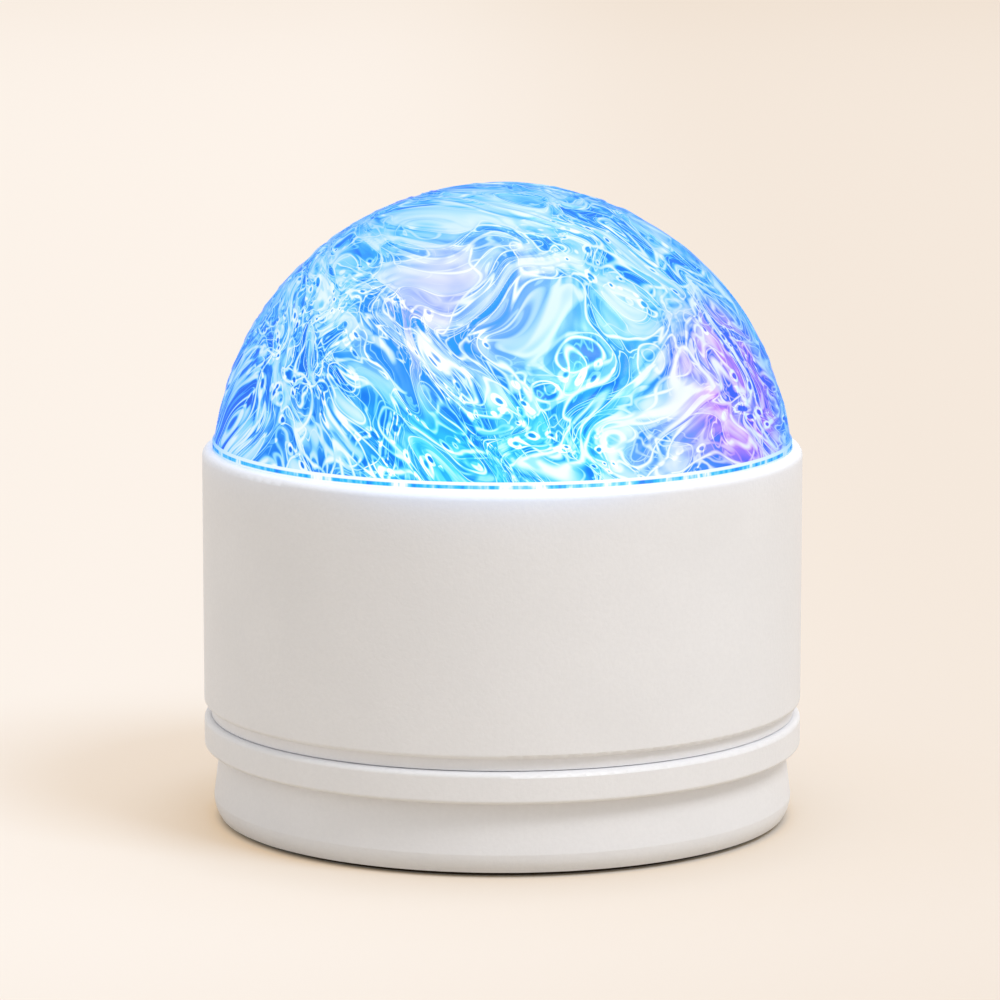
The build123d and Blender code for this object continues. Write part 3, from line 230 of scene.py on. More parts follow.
SPOT_PATCHES = (0.42, 0.56, 0.60, 1.0)

# Band at the foot of the cap, by shares of its height: a dashed line between two white ones
DASH_STRETCH = (1.0, 1.0, 0.3)
DASH_TEXTURE = {"scale": 15.0, "detail": 3.0, "roughness": 0.65}
DASH_TONES = [(0.36, DEEP_BLUE), (0.47, TURQUOISE), (0.55, SKY), (0.62, WHITE)]
DASH_PLACE = 0.45
DASH_EDGE = (0.20, 0.34, 0.0, 1.0)
BAND_EDGE = (1.16, 1.10, 0.0, 1.0)

# Painted glow on the drum's rim, standing in for the dome's light falling on it, stronger beside the cyan
# lights
RIM_GLOW_LEVEL = 0.12
CYAN_GLOW_LEVEL = 0.30
RIM_GLOW_DEPTH = 0.0026

# Part of a noise's range over which a look changes, and what drops the height of a place
NOISE_RANGE = (0.3, 0.7)
LEVEL_ONLY = (1.0, 1.0, 0.0)

# Plastics and rubbers: size and depth of the grain, and what changes with it
SHELL_GRAIN = (0.0008, 0.00010)
COVER_GRAIN = (0.0010, 0.00009)
RUBBER_GRAIN = (0.0007, 0.00008)
INNER_GRAIN = (0.0012, 0.00003)
SHELL_ROUGHNESS = 0.42
COVER_ROUGHNESS = 0.62
RUBBER_ROUGHNESS = 0.80
COVER_SHADE = 0.92
BUTTON_SHADE = 0.96
CLOUDY_SHADE = 0.97
SPECK_SHADE = 0.93
SPECK_SHARE = 0.3
GLOSS_SPREAD = 0.06
PLASTIC_CLOUD = {"scale": 45.0, "detail": 3.0}
GRAIN_TEXTURE = {"detail": 2.0, "roughness": 0.6}
GRAIN_STRENGTH = 0.5

# Roughness of the inner plastics and rubbers, and of the metals, by slot
SMOOTH_PLASTICS = {
    "seal": 0.50,
    "reflector": 0.18,
    "acetal": 0.40,
    "tower": 0.50,
    "diode": 0.15,
    "component": 0.55,
    "lead": 0.50,
}
METALS = {"steel": 0.32, "motor_case": 0.38, "heat_sink": 0.45, "cell_wrap": 0.40}

# Metals, boards, lens and foam: textures, shades, changes of roughness, and strength and depth of the bump
STREAK_STRETCH = (1.0, 1.0, 0.06)
STREAK_TEXTURE = {"scale": 5200.0, "detail": 2.0, "roughness": 0.6}
STREAK_GLOSS = (-0.08, 0.10)
STREAK_BUMP = (0.3, 0.00002)
STAIN_TEXTURE = {"scale": 260.0, "detail": 3.0}
STAIN_SHADE = 0.82
TRACK_CELLS = {"scale": 420.0, "randomness": 0.9}
TRACK_PITCH = 0.14
TRACK_EDGE = (0.06, 0.03)
TRACK_BUMP = (0.4, 0.00003)
LIGHT_TRACK_SHADE = 0.8
MASK_CLOUD = {"scale": 300.0}
MASK_SHADE = 0.85
MASK_GLOSS = (0.25, 0.40)
LENS_WAVES = {"Scale": 160.0, "Distortion": 2.0}
LENS_BUMP = (0.5, 0.0003)
LENS_CLOUD = {"scale": 120.0}
LENS_SHADE = 0.97
LENS_GLOSS = (0.03, 0.08)
PORE_SCALE = 1800.0
PORE_RANGE = (0.1, 0.6)
# painted shade: the foam's pores are darker
PAINTED_PORE_SHADE = 0.4
PORE_GLOSS = (0.98, 0.85)
PORE_BUMP = (0.8, 0.0003)

# Charging socket
SOCKET_ROUGHNESS = 0.30
SOCKET_WALL = 0.00035
SOCKET_MOUTH = (0.99, 0.94, 0.0, 1.0)

# Floor: what lights the object, what is seen, and painted shade over the table and painted shadow round the
# foot
FLOOR_SIDE = 24.0
FLOOR_GRID = 4
FLOOR_CLOUD = {"scale": 3.0}
FLOOR_CLOUD_SHADE = 0.98
FLOOR_ROUGHNESS = 0.9
FLOOR_SPECULAR = 0.1
FOOT_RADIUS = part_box("foot_shell")[1].x
FLOOR_BOUNCE = srgb(203, 190, 170)
FLOOR_GLOW = (0.52, 0.30, 0.085, 1.0)
FLOOR_SHADE = (0.44, 0.57, 0.70)
# painted shade: darker to the right, at the front and round the foot; painted light: lighter toward the back
PAINTED_SHADE_RIGHTWARD = (-0.10, 0.12, 0.81, 0.68)
PAINTED_LIGHT_BACKWARD = (0.0, 2.0, 1.0, 1.40)
PAINTED_SHADE_FRONT = (-0.20, -0.08, 0.93, 1.0)
PAINTED_SHADE_AROUND = (FOOT_RADIUS + 0.0022, FOOT_RADIUS + 0.0642, 0.97, 1.0)
# painted shadow: the floor's glow dies away under and beside the foot
PAINTED_SHADOW_UNDER = (FOOT_RADIUS - 0.0031, FOOT_RADIUS + 0.0006, 0.06, 1.0)
PAINTED_SHADOW_BESIDE = (FOOT_RADIUS - 0.0008, FOOT_RADIUS + 0.0292, 0.95, 1.0)

# Sky, by the upward and the sideways part of a direction, and lamps by place, side and power
SKY_UPWARD = (0.0, 0.8, 0.50, 0.78)
SKY_LEFT = (-0.55, -1.0, 0.0, 0.30)
LAMP_AIM = (0.0, 0.0, 0.05)
LAMPS = {"key": ((1.10, -0.86, 1.95), 0.8, 25.5), "overhead": ((0.1, 0.1, 1.8), 0.6, 8.0)}


class Graph:
    """Short forms for building a node tree."""

    def __init__(self, tree):
        self.tree = tree

    def feed(self, socket, value):
        if isinstance(value, bpy.types.NodeSocket):
            self.tree.links.new(value, socket)
        else:
            socket.default_value = value

    def add(self, kind, values=(), **settings):
        node = self.tree.nodes.new(kind)
        for name, value in settings.items():
            setattr(node, name, value)
        for name, value in dict(values).items():
            self.feed(node.inputs[name], value)
        return node

    def find(self, kind):
        """First node of a kind."""
        return next(node for node in self.tree.nodes if node.type == kind)

    def place(self):
        """Place on the object, in its own frame."""
        return self.add("ShaderNodeTexCoord").outputs["Object"]

    def math(self, operation, *values, clamp=False):
        return self.add("ShaderNodeMath", enumerate(values), operation=operation, use_clamp=clamp).outputs[0]

    def product(self, first, *others):
        for other in others:
            first = self.math("MULTIPLY", first, other)
        return first

    def off(self, value, level):
        """Distance of a value from a level."""
        return self.math("ABSOLUTE", self.math("SUBTRACT", value, level))

    def vector(self, operation, *values):
        node = self.add("ShaderNodeVectorMath", enumerate(values), operation=operation)
        return node.outputs["Value" if operation in ("DOT_PRODUCT", "LENGTH") else "Vector"]

    def scaled(self, vector, factor):
        values = {"Vector": vector, "Scale": factor}
        return self.add("ShaderNodeVectorMath", values, operation="SCALE").outputs[0]

    def split(self, vector):
        return self.add("ShaderNodeSeparateXYZ", {"Vector": vector}).outputs

    def join(self, x=0.0, y=0.0, z=0.0):
        return self.add("ShaderNodeCombineXYZ", {"X": x, "Y": y, "Z": z}).outputs[0]

    def step(self, value, low, high, start=0.0, end=1.0):
        """Smooth passage from start to end as value goes from low to high."""
        values = {"Value": value, "From Min": low, "From Max": high, "To Min": start, "To Max": end}
        return self.add("ShaderNodeMapRange", values, interpolation_type="SMOOTHSTEP").outputs[0]

    def mix(self, share, first, second):
        node = self.add("ShaderNodeMix", data_type="RGBA")
        for index, value in ((0, share), (6, first), (7, second)):
            self.feed(node.inputs[index], value)
        return node.outputs[2]

    def noise(self, position, scale, detail=2.0, roughness=0.5, output="Fac"):
        values = {"Vector": position, "Scale": scale, "Detail": detail, "Roughness": roughness}
        return self.add("ShaderNodeTexNoise", values).outputs[output]

    def wobble(self, position, scale, reach):
        """Position pushed about by a vector noise."""
        colour = self.noise(position, scale, BEND_DETAIL, output="Color")
        push = self.vector("SUBTRACT", colour, (MIDDLE, MIDDLE, MIDDLE))
        return self.vector("ADD", position, self.scaled(push, reach))

    def voronoi(self, position, scale, randomness=1.0, **settings):
        values = {"Vector": position, "Scale": scale, "Randomness": randomness}
        return self.add("ShaderNodeTexVoronoi", values, **settings).outputs

    def ramp(self, value, stops):
        node = self.add("ShaderNodeValToRGB", {"Fac": value})
        elements = node.color_ramp.elements
        while len(elements) < len(stops):
            elements.new(MIDDLE)
        for element, (place, colour) in zip(elements, stops):
            element.position = place
            element.color = colour
        return node.outputs["Color"]

    def roughen(self, shader, height, strength, depth):
        """Bump on a shader from a height field."""
        bump = self.add("ShaderNodeBump", {"Height": height, "Strength": strength, "Distance": depth})
        self.feed(shader.inputs["Normal"], bump.outputs["Normal"])


def new_material(name):
    """Empty node material, with its graph and its Principled shader."""
    material = bpy.data.materials.new(name)
    material.use_nodes = True
    material.node_tree.nodes.clear()
    graph = Graph(material.node_tree)
    shader = graph.add("ShaderNodeBsdfPrincipled")
    output = graph.add("ShaderNodeOutputMaterial")
    graph.tree.links.new(shader.outputs["BSDF"], output.inputs["Surface"])
    return material, graph, shader


class Ripples:
    """Fields of the ripple pattern at a place on the dome, the same for its shape and for its colour."""

    def __init__(self, graph, position):
        self.graph = graph
        centred = graph.vector("SUBTRACT", position, tuple(CAP_CENTRE))
        self.radius = graph.vector("LENGTH", centred)
        self.heading = graph.vector("NORMALIZE", centred)
        self.climb = graph.split(self.heading)["Z"]
        self.flow = self.start()
        for scale, reach in BENDS:
            self.flow = graph.wobble(self.flow, scale, reach)
        self.currents = {name: self.current(*row) for name, row in CURRENTS.items()}
        self.strands = {name: self.strand(*row) for name, row in STRANDS.items()}

    def start(self):
        """Heading as a place in the noise, before it is bent."""
        graph = self.graph
        spread = graph.math("MULTIPLY_ADD", self.climb, PATTERN_SPREAD, 1.0)
        place = graph.scaled(self.heading, PATTERN_SCALE)
        place = graph.vector("MULTIPLY", place, graph.join(spread, spread, 1.0))
        tilt = graph.join(graph.math("MULTIPLY", self.climb, PATTERN_TILT))
        return graph.vector("ADD", graph.vector("ADD", place, tilt), PATTERN_PLACE)

    def current(self, place, scale):
        return self.graph.noise(self.graph.vector("ADD", self.flow, place), scale, **CURRENT_TEXTURE)

    def strand(self, current, across, along, start):
        """Noise that changes quickly across a current and slowly along it."""
        push = self.graph.math("MULTIPLY_ADD", self.currents[current], across, start)
        place = self.graph.vector("ADD", self.graph.scaled(self.flow, along), self.graph.join(push, start))
        return self.graph.noise(place, 1.0, **STRAND_TEXTURE)


def revolve(name, profile, segments):
    """Closed mesh turned from (radius, height) points that start and end on the axis."""
    mesh = bmesh.new()
    rings = []
    for radius, height in profile:
        if radius == 0:
            rings.append([mesh.verts.new((0, 0, height))])
            continue
        turns = [2 * math.pi * index / segments for index in range(segments)]
        rings.append([mesh.verts.new((radius * math.cos(t), radius * math.sin(t), height)) for t in turns])
    for upper, lower in zip(rings, rings[1:]):
        for index in range(segments):
            after = (index + 1) % segments
            if len(upper) == 1:
                corners = [upper[0], lower[index], lower[after]]
            elif len(lower) == 1:
                corners = [upper[index], lower[0], upper[after]]
            else:
                corners = [upper[index], lower[index], lower[after], upper[after]]
            mesh.faces.new(corners).smooth = True
    data = bpy.data.meshes.new(name)
    mesh.to_mesh(data)
    mesh.free()
    piece = bpy.data.objects.new(name, data)
    bpy.context.scene.collection.objects.link(piece)
    return piece


def cap_arc(radius, foot_height, rings):
    """Points from the apex of a cap down to a height, the apex on the axis."""
    reach = math.acos((foot_height - CAP_CENTRE.z) / radius)
    angles = [reach * index / rings for index in range(rings + 1)]
    points = [(radius * math.sin(a), CAP_CENTRE.z + radius * math.cos(a)) for a in angles]
    return [(0, CAP_CENTRE.z + radius), *points[1:]]


def relief_tree():
    """Geometry nodes that sink the cap's outer face between its ridges, fading out toward the band."""
    tree = bpy.data.node_groups.new("ripple_relief", "GeometryNodeTree")
    for way in ("INPUT", "OUTPUT"):
        tree.interface.new_socket("Geometry", in_out=way, socket_type="NodeSocketGeometry")
    graph = Graph(tree)
    source = graph.add("NodeGroupInput")
    position = graph.add("GeometryNodeInputPosition").outputs["Position"]
    ripples = Ripples(graph, position)
    depths = [graph.step(graph.off(ripples.strands[name], MIDDLE), *row) for name, row in RELIEF.items()]
    outside = graph.step(ripples.radius, CAP_RADIUS - DOME_WALL / 2, CAP_RADIUS)
    above = graph.step(graph.split(position)["Z"], BAND_TOP, BAND_TOP + RIDGE_FADE)
    amount = graph.product(graph.math("ADD", *depths), outside, above, RIDGE_HEIGHT)
    values = {"Geometry": source.outputs[0], "Offset": graph.scaled(ripples.heading, amount)}
    moved = graph.add("GeometryNodeSetPosition", values)
    result = graph.add("NodeGroupOutput")
    tree.links.new(moved.outputs[0], result.inputs[0])
    return tree


def make_dome(look):
    """Rippled cap on its band and skirt, closed inside like the moulded piece."""
    flange_top = DOME_LOW.z + FLANGE_THICKNESS
    flange_inner = SKIRT_RADIUS - FLANGE_WIDTH
    outer = cap_arc(CAP_RADIUS, BAND_TOP, OUTER_RINGS)
    inner = cap_arc(CAP_RADIUS - DOME_WALL, flange_top, INNER_RINGS)
    foot = [
        (SKIRT_RADIUS, BAND_TOP),
        (SKIRT_RADIUS, DOME_LOW.z),
        (flange_inner, DOME_LOW.z),
        (flange_inner, flange_top),
    ]
    piece = revolve("rippled_dome", [*outer, *foot, *reversed(inner)], SEGMENTS)
    piece.modifiers.new("relief", "NODES").node_group = relief_tree()
    shaped = piece.evaluated_get(bpy.context.evaluated_depsgraph_get())
    piece.data = bpy.data.meshes.new_from_object(shaped)
    piece.modifiers.clear()
    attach(piece, "head")
    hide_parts("dome")
    piece.data.materials.append(look)


def band_tone(graph, ripples, cloud):
    """Tone of the light in soft and sharper bands along the strands, brighter toward the top."""
    tone = graph.math("MULTIPLY_ADD", graph.math("SUBTRACT", cloud, MIDDLE), CLOUD_SHARE, MEAN_TONE)
    for name, share in STRAND_SHARES.items():
        tone = graph.math("MULTIPLY_ADD", graph.math("SUBTRACT", ripples.strands[name], MIDDLE), share, tone)
    for name, passage in TONE_BANDS.items():
        tone = graph.math("ADD", tone, graph.step(ripples.strands[name], *passage))
    tone = graph.math("ADD", tone, graph.step(ripples.climb, *TONE_UPWARD))
    return graph.step(tone, *TONE_RANGE)


def draw_lines(graph, ripples, cloud, tone):
    """Tone with white ribbons in a darker brim, and white lines."""
    width = graph.step(cloud, *RIBBON_WIDTH)
    part = graph.math("DIVIDE", graph.off(ripples.strands["ribbon"], MIDDLE), width)
    tone = graph.math("ADD", tone, graph.step(graph.off(part, BRIM_PLACE), *BRIM_SHADE))
    lines = graph.step(part, *RIBBON_LIGHT)
    for name, level, reach, share in LINES:
        away = graph.off(ripples.strands[name], level)
        line = graph.step(away, reach * LINE_OUTER, reach * LINE_INNER, 0.0, share)
        lines = graph.math("MAXIMUM", lines, line)
    lines = graph.product(lines, graph.step(ripples.strands["fine"], *LINE_FLICKER))
    return graph.math("MAXIMUM", tone, lines, clamp=True)


def draw_eyelets(graph, ripples, tone):
    """Tone with dark drops in a light skin, in patches."""
    patches = graph.noise(graph.vector("ADD", ripples.flow, PATCH_PLACE), **PATCH_TEXTURE)
    patches = graph.step(patches, *EYELET_PATCHES)
    for scale, least, without in EYELETS:
        drop = graph.voronoi(ripples.flow, scale, EYELET_RANDOMNESS)
        kind = graph.add("ShaderNodeSeparateColor", {"Color": drop["Color"]}).outputs
        wanted = graph.product(graph.step(kind[0], without, without + EYELET_CHOICE), patches)
        radius = graph.math("MULTIPLY_ADD", kind[1], EYELET_GROWTH, least)
        away = graph.math("DIVIDE", drop["Distance"], radius)
        for passage in (EYELET_SKIN, EYELET_CORE):
            tone = graph.math("MULTIPLY_ADD", graph.step(away, *passage), wanted, tone, clamp=True)
    return tone


def colour_light(graph, ripples, tone):
    """Colour of a tone, by the light that is nearest inside the dome."""
    fill = graph.ramp(tone, BLUE_TONES)
    patches = graph.step(ripples.strands["cross"], *SPOT_PATCHES)
    for direction, reach, tones, share in SPOTS:
        facing = graph.vector("DOT_PRODUCT", ripples.heading, tuple(Vector(direction).normalized()))
        inside = graph.step(facing, math.cos(math.radians(reach)), 1.0, 0.0, share)
        fill = graph.mix(graph.product(inside, patches), fill, graph.ramp(tone, tones))
    return fill


def draw_band(graph, ripples, position, fill):
    """Colour with the dashed band at the foot of the cap."""
    rise = graph.math("SUBTRACT", graph.split(position)["Z"], DRUM_TOP)
    rise = graph.math("DIVIDE", rise, BAND_HEIGHT)
    dash = graph.noise(graph.vector("MULTIPLY", ripples.heading, DASH_STRETCH), **DASH_TEXTURE)
    edge = graph.step(graph.off(rise, DASH_PLACE), *DASH_EDGE)
    band = graph.mix(edge, graph.ramp(dash, DASH_TONES), WHITE)
    return graph.mix(graph.step(rise, *BAND_EDGE), fill, band)


def dome_material():
    """Lit water ripples under a tinted coat: toned bands, white ribbons, lines and eyelets."""
    material, graph, shader = new_material("rippled_dome")
    position = graph.place()
    ripples = Ripples(graph, position)
    cloud = graph.noise(ripples.flow, **CLOUD_TEXTURE)
    tone = band_tone(graph, ripples, cloud)
    tone = draw_lines(graph, ripples, cloud, tone)
    tone = draw_eyelets(graph, ripples, tone)
    fill = draw_band(graph, ripples, position, colour_light(graph, ripples, tone))
    graph.feed(shader.inputs["Base Color"], graph.mix(LOST_COLOUR, fill, BLACK))
    graph.feed(shader.inputs["Emission Color"], fill)
    shader.inputs["Emission Strength"].default_value = DOME_LEVEL
    shader.inputs["Roughness"].default_value = DOME_ROUGHNESS
    shader.inputs["Specular IOR Level"].default_value = DOME_SPECULAR
    shader.inputs["Coat Weight"].default_value = 1.0
    shader.inputs["Coat IOR"].default_value = COAT_IOR
    shader.inputs["Coat Tint"].default_value = COAT_TINT
    material.cycles.emission_sampling = "NONE"
    return material


def plastic_material(name, colour, roughness, grain=SHELL_GRAIN):
    """Moulded plastic or rubber: fine spark-eroded grain, slight cloudiness and uneven gloss."""
    material, graph, shader = new_material(name)
    size, depth = grain
    position = graph.place()
    cloud = graph.noise(position, **PLASTIC_CLOUD)
    height = graph.noise(position, 1 / size, **GRAIN_TEXTURE)
    tint = graph.mix(graph.step(cloud, *NOISE_RANGE), shaded(colour, CLOUDY_SHADE), colour)
    speck = graph.step(height, *NOISE_RANGE, 0.0, SPECK_SHARE)
    gloss = graph.step(height, *NOISE_RANGE, roughness - GLOSS_SPREAD, roughness + GLOSS_SPREAD)
    graph.feed(shader.inputs["Base Color"], graph.mix(speck, tint, shaded(colour, SPECK_SHADE)))
    graph.feed(shader.inputs["Roughness"], gloss)
    graph.roughen(shader, height, GRAIN_STRENGTH, depth)
    return material


def painted_glow_plastic_material():
    """White plastic of the drum, with a painted glow of the dome's light on its rim."""
    material = plastic_material("white_plastic_painted_rim_glow", WHITE_PLASTIC, SHELL_ROUGHNESS)
    graph = Graph(material.node_tree)
    shader = graph.find("BSDF_PRINCIPLED")
    position = graph.place()
    depth = graph.math("SUBTRACT", DRUM_TOP, graph.split(position)["Z"])
    fade = graph.math("EXPONENT", graph.math("MULTIPLY", depth, -1 / RIM_GLOW_DEPTH))
    heading = graph.vector("NORMALIZE", graph.vector("MULTIPLY", position, LEVEL_ONLY))
    level = RIM_GLOW_LEVEL
    for direction, reach, tones, _ in SPOTS:
        if tones is CYAN_TONES:
            facing = graph.vector("DOT_PRODUCT", heading, tuple(Vector(direction).normalized()))
            beside = graph.step(facing, math.cos(math.radians(reach)), 1.0, 0.0, CYAN_GLOW_LEVEL)
            level = graph.math("ADD", beside, level)
    # painted glow of the dome's light on the rim: bluish emission fading down from its top, stronger beside
    # the cyan lights
    shader.inputs["Emission Color"].default_value = RIM_GLOW
    graph.feed(shader.inputs["Emission Strength"], graph.product(fade, level))
    material.cycles.emission_sampling = "NONE"
    return material


def metal_material(name, colour, roughness):
    """Plated or drawn metal with fine streaks and uneven gloss."""
    material, graph, shader = new_material(name)
    position = graph.place()
    streak = graph.noise(graph.vector("MULTIPLY", position, STREAK_STRETCH), **STREAK_TEXTURE)
    stain = graph.noise(position, **STAIN_TEXTURE)
    gloss = [roughness + change for change in STREAK_GLOSS]
    graph.feed(shader.inputs["Base Color"], graph.mix(stain, shaded(colour, STAIN_SHADE), colour))
    graph.feed(shader.inputs["Roughness"], graph.step(streak, *NOISE_RANGE, *gloss))
    shader.inputs["Metallic"].default_value = 1.0
    graph.roughen(shader, streak, *STREAK_BUMP)
    return material


def socket_material(colour):
    """Steel shell of the charging socket, black where its mouth, back and tongue are."""
    material = metal_material("charging_socket", colour, SOCKET_ROUGHNESS)
    graph = Graph(material.node_tree)
    shader = graph.find("BSDF_PRINCIPLED")
    low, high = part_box("usb_socket")
    room = (high - low) / 2 - Vector((SOCKET_WALL, 0, SOCKET_WALL))
    place = graph.split(graph.vector("SUBTRACT", graph.place(), tuple((low + high) / 2)))
    across = graph.math("DIVIDE", graph.math("ABSOLUTE", place["X"]), room.x)
    upward = graph.math("DIVIDE", graph.math("ABSOLUTE", place["Z"]), room.z)
    inside = graph.step(graph.math("MAXIMUM", across, upward), *SOCKET_MOUTH)
    steel = shader.inputs["Base Color"].links[0].from_socket
    graph.feed(shader.inputs["Base Color"], graph.mix(inside, steel, SOCKET_BLACK))
    graph.feed(shader.inputs["Metallic"], graph.math("SUBTRACT", 1.0, inside))
    return material


def board_material(name, colour, track):
    """Circuit board: solder mask over fine square-cornered tracks."""
    material, graph, shader = new_material(name)
    position = graph.place()
    cells = graph.voronoi(position, **TRACK_CELLS, distance="CHEBYCHEV")["Distance"]
    copper = graph.step(graph.math("PINGPONG", cells, TRACK_PITCH), *TRACK_EDGE)
    cloud = graph.noise(position, **MASK_CLOUD)
    mask = graph.mix(cloud, shaded(colour, MASK_SHADE), colour)
    graph.feed(shader.inputs["Base Color"], graph.mix(copper, mask, track))
    graph.feed(shader.inputs["Roughness"], graph.step(cloud, *NOISE_RANGE, *MASK_GLOSS))
    graph.roughen(shader, copper, *TRACK_BUMP)
    return material


def lens_material(colour):
    """Clear lens with concentric ripples and a trace of cloudiness."""
    material, graph, shader = new_material("clear_ripple_lens")
    position = graph.place()
    values = {"Vector": position, **LENS_WAVES}
    wave = graph.add("ShaderNodeTexWave", values, wave_type="RINGS").outputs["Fac"]
    cloud = graph.noise(position, **LENS_CLOUD)
    graph.feed(shader.inputs["Base Color"], graph.mix(cloud, shaded(colour, LENS_SHADE), colour))
    graph.feed(shader.inputs["Roughness"], graph.step(cloud, *NOISE_RANGE, *LENS_GLOSS))
    shader.inputs["Transmission Weight"].default_value = 1.0
    graph.roughen(shader, wave, *LENS_BUMP)
    return material


def foam_material(colour):
    """Open-cell foam, with painted shade in its pores."""
    material, graph, shader = new_material("open_cell_foam")
    pore = graph.voronoi(graph.place(), PORE_SCALE)["Distance"]
    tint = graph.mix(graph.step(pore, *PORE_RANGE), shaded(colour, PAINTED_PORE_SHADE), colour)
    graph.feed(shader.inputs["Base Color"], tint)
    graph.feed(shader.inputs["Roughness"], graph.step(pore, *PORE_RANGE, *PORE_GLOSS))
    graph.roughen(shader, pore, *PORE_BUMP)
    return material


def slot_looks(colours):
    """Material of each slot, in the slot's colour from the record where the photo doesn't show it."""
    cover = shaded(WHITE_PLASTIC, COVER_SHADE)
    light_board = colours["light_board"]
    looks = {
        "ripple_dome": dome_material(),
        "white_shell": plastic_material("white_plastic", WHITE_PLASTIC, SHELL_ROUGHNESS),
        "cover": plastic_material("cover_plastic", cover, COVER_ROUGHNESS, COVER_GRAIN),
        "button": plastic_material("button_plastic", shaded(WHITE_PLASTIC, BUTTON_SHADE), SHELL_ROUGHNESS),
        "pad": plastic_material("dark_rubber", DARK_RUBBER, RUBBER_ROUGHNESS, RUBBER_GRAIN),
        "ripple_lens": lens_material(colours["ripple_lens"]),
        "foam": foam_material(colours["foam"]),
        "circuit_board": board_material("green_board", colours["circuit_board"], COPPER_UNDER_MASK),
        "light_board": board_material("white_board", light_board, shaded(light_board, LIGHT_TRACK_SHADE)),
    }
    for slot, roughness in METALS.items():
        looks[slot] = metal_material(slot, colours[slot], roughness)
    for slot, roughness in SMOOTH_PLASTICS.items():
        looks[slot] = plastic_material(slot, colours[slot], roughness, INNER_GRAIN)
    return looks


def dress_nodes():
    """Procedural materials on every CAD node, by its slot in the record. Gives back the slots' materials."""
    colours = {row["slot"]: (*row["base_color"][:3], 1.0) for row in frame["record"]["materials"]}
    looks = slot_looks(colours)
    special = {"drum": painted_glow_plastic_material(), "usb_socket": socket_material(colours["steel"])}
    for row in frame["record"]["subparts"]:
        materials = frame["nodes"][row["node"]].data.materials
        materials.clear()
        materials.append(special.get(row["node"], looks[row["material_slot"]]))
    return looks


def seen_directly(graph):
    """One for rays from the camera, a mirror or glass, and zero for the light that falls on things."""
    path = graph.add("ShaderNodeLightPath").outputs
    mirrored = graph.math("MAXIMUM", path["Is Glossy Ray"], path["Is Transmission Ray"])
    return graph.math("MAXIMUM", path["Is Camera Ray"], mirrored)


def floor_material():
    """Cream that keeps the object's shadow, warm in the shade, with painted shade and light over the table
    and a painted shadow under and beside the foot.
    """
    material, graph, shader = new_material("cream_floor")
    position = graph.place()
    cloud = graph.noise(position, **FLOOR_CLOUD)
    tint = graph.mix(cloud, shaded(FLOOR_BOUNCE, FLOOR_CLOUD_SHADE), FLOOR_BOUNCE)
    graph.feed(shader.inputs["Base Color"], tint)
    shader.inputs["Roughness"].default_value = FLOOR_ROUGHNESS
    shader.inputs["Specular IOR Level"].default_value = FLOOR_SPECULAR

    place = graph.split(position)
    radius = graph.vector("LENGTH", graph.vector("MULTIPLY", position, LEVEL_ONLY))
    # painted shade and light over the table: darker to the right, at the front and round the foot, lighter
    # toward the back
    level = graph.product(
        graph.step(place["X"], *PAINTED_SHADE_RIGHTWARD),
        graph.step(place["Y"], *PAINTED_LIGHT_BACKWARD),
        graph.step(place["Y"], *PAINTED_SHADE_FRONT),
        graph.step(radius, *PAINTED_SHADE_AROUND),
    )
    # painted shadow: the glow dies away under and beside the foot
    strength = graph.product(graph.step(radius, *PAINTED_SHADOW_UNDER), graph.step(radius, *PAINTED_SHADOW_BESIDE))
    glow = graph.add("ShaderNodeEmission", {"Color": FLOOR_GLOW, "Strength": strength})
    shade = graph.add("ShaderNodeBsdfDiffuse", {"Color": graph.scaled(FLOOR_SHADE, level)})
    seen = graph.add("ShaderNodeAddShader", {0: glow.outputs[0], 1: shade.outputs[0]})
    ways = {0: seen_directly(graph), 1: shader.outputs["BSDF"], 2: seen.outputs[0]}
    blend = graph.add("ShaderNodeMixShader", ways)
    graph.feed(graph.find("OUTPUT_MATERIAL").inputs["Surface"], blend.outputs[0])
    return material


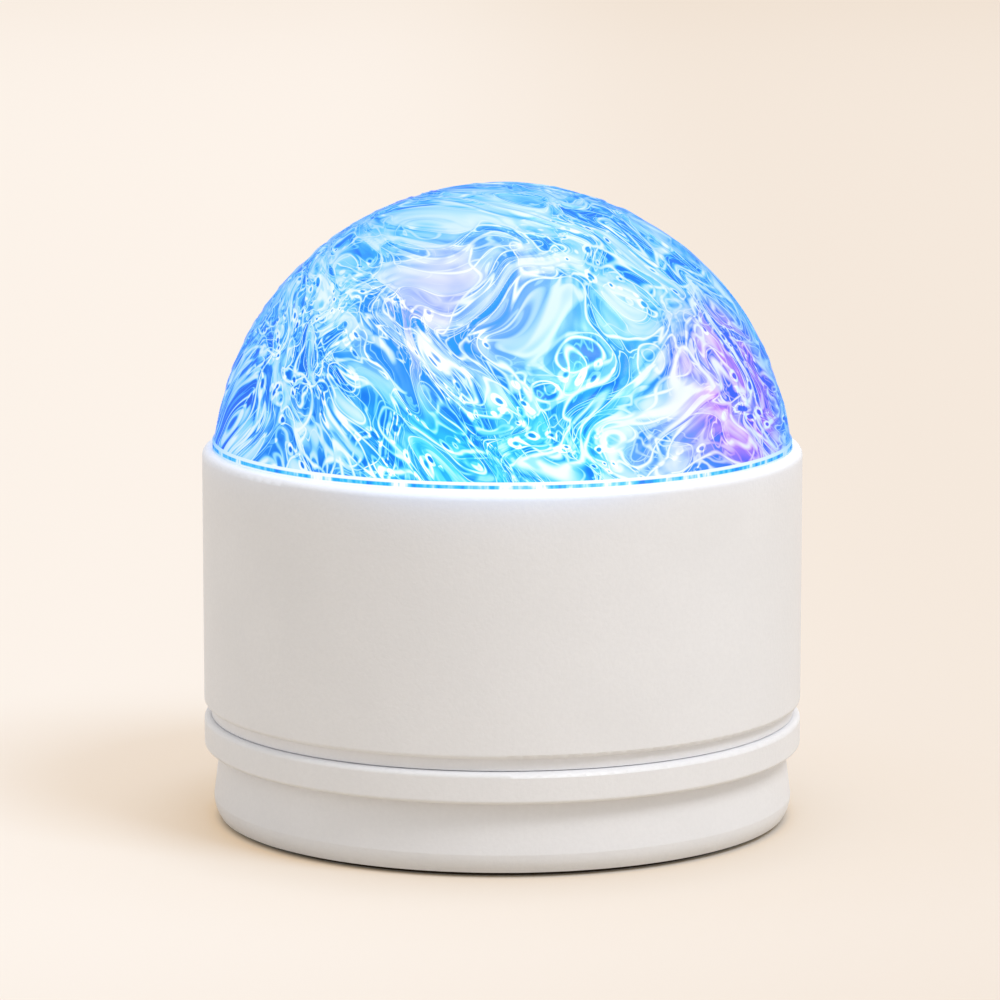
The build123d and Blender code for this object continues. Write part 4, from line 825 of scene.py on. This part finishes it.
def make_floor():
    """Table top round the object."""
    bpy.ops.mesh.primitive_grid_add(x_subdivisions=FLOOR_GRID, y_subdivisions=FLOOR_GRID, size=FLOOR_SIDE)
    floor = bpy.context.object
    floor.name = "floor"
    floor.data.materials.append(floor_material())


def area_lamp(name, place, side, power):
    """Square soft lamp at a place, turned to the object."""
    lamp = bpy.data.lights.new(name, "AREA")
    lamp.size = side
    lamp.energy = power
    holder = bpy.data.objects.new(name, lamp)
    holder.location = place
    holder.rotation_euler = (Vector(LAMP_AIM) - Vector(place)).to_track_quat("-Z", "Y").to_euler()
    bpy.context.scene.collection.objects.link(holder)


def make_lights():
    """Daylight that is stronger from above and from the left, a broad lamp on the right and one overhead."""
    world = bpy.data.worlds.new("studio")
    world.use_nodes = True
    graph = Graph(world.node_tree)
    background = graph.find("BACKGROUND")
    heading = graph.split(graph.add("ShaderNodeTexCoord").outputs["Generated"])
    level = graph.math("ADD", graph.step(heading["Z"], *SKY_UPWARD), graph.step(heading["X"], *SKY_LEFT))
    seen = seen_directly(graph)
    graph.feed(background.inputs["Color"], graph.mix(seen, LAMP_WHITE, CREAM))
    graph.feed(background.inputs["Strength"], graph.math("MAXIMUM", level, seen))
    bpy.context.scene.world = world
    for name, row in LAMPS.items():
        area_lamp(name, *row)


def make_camera():
    """Camera at the photograph's viewing angle."""
    data = bpy.data.cameras.new("camera")
    data.sensor_width = SENSOR_MILLIMETRES
    data.lens = FOCAL_PIXELS / IMAGE_SIDE * SENSOR_MILLIMETRES
    data.shift_x = -AXIS_OFFSET_PIXELS / IMAGE_SIDE
    data.clip_start = NEAR_CLIP
    camera = bpy.data.objects.new("camera", data)
    back = Vector((0, -math.cos(CAMERA_PITCH), math.sin(CAMERA_PITCH)))
    camera.location = Vector((0, 0, AIM_HEIGHT)) + back * CAMERA_DISTANCE
    camera.rotation_euler = (-back).to_track_quat("-Z", "Y").to_euler()
    bpy.context.scene.collection.objects.link(camera)
    bpy.context.scene.camera = camera


bpy.context.scene.view_settings.view_transform = "Standard"
looks = dress_nodes()
make_dome(looks["ripple_dome"])
make_floor()
make_lights()
make_camera()
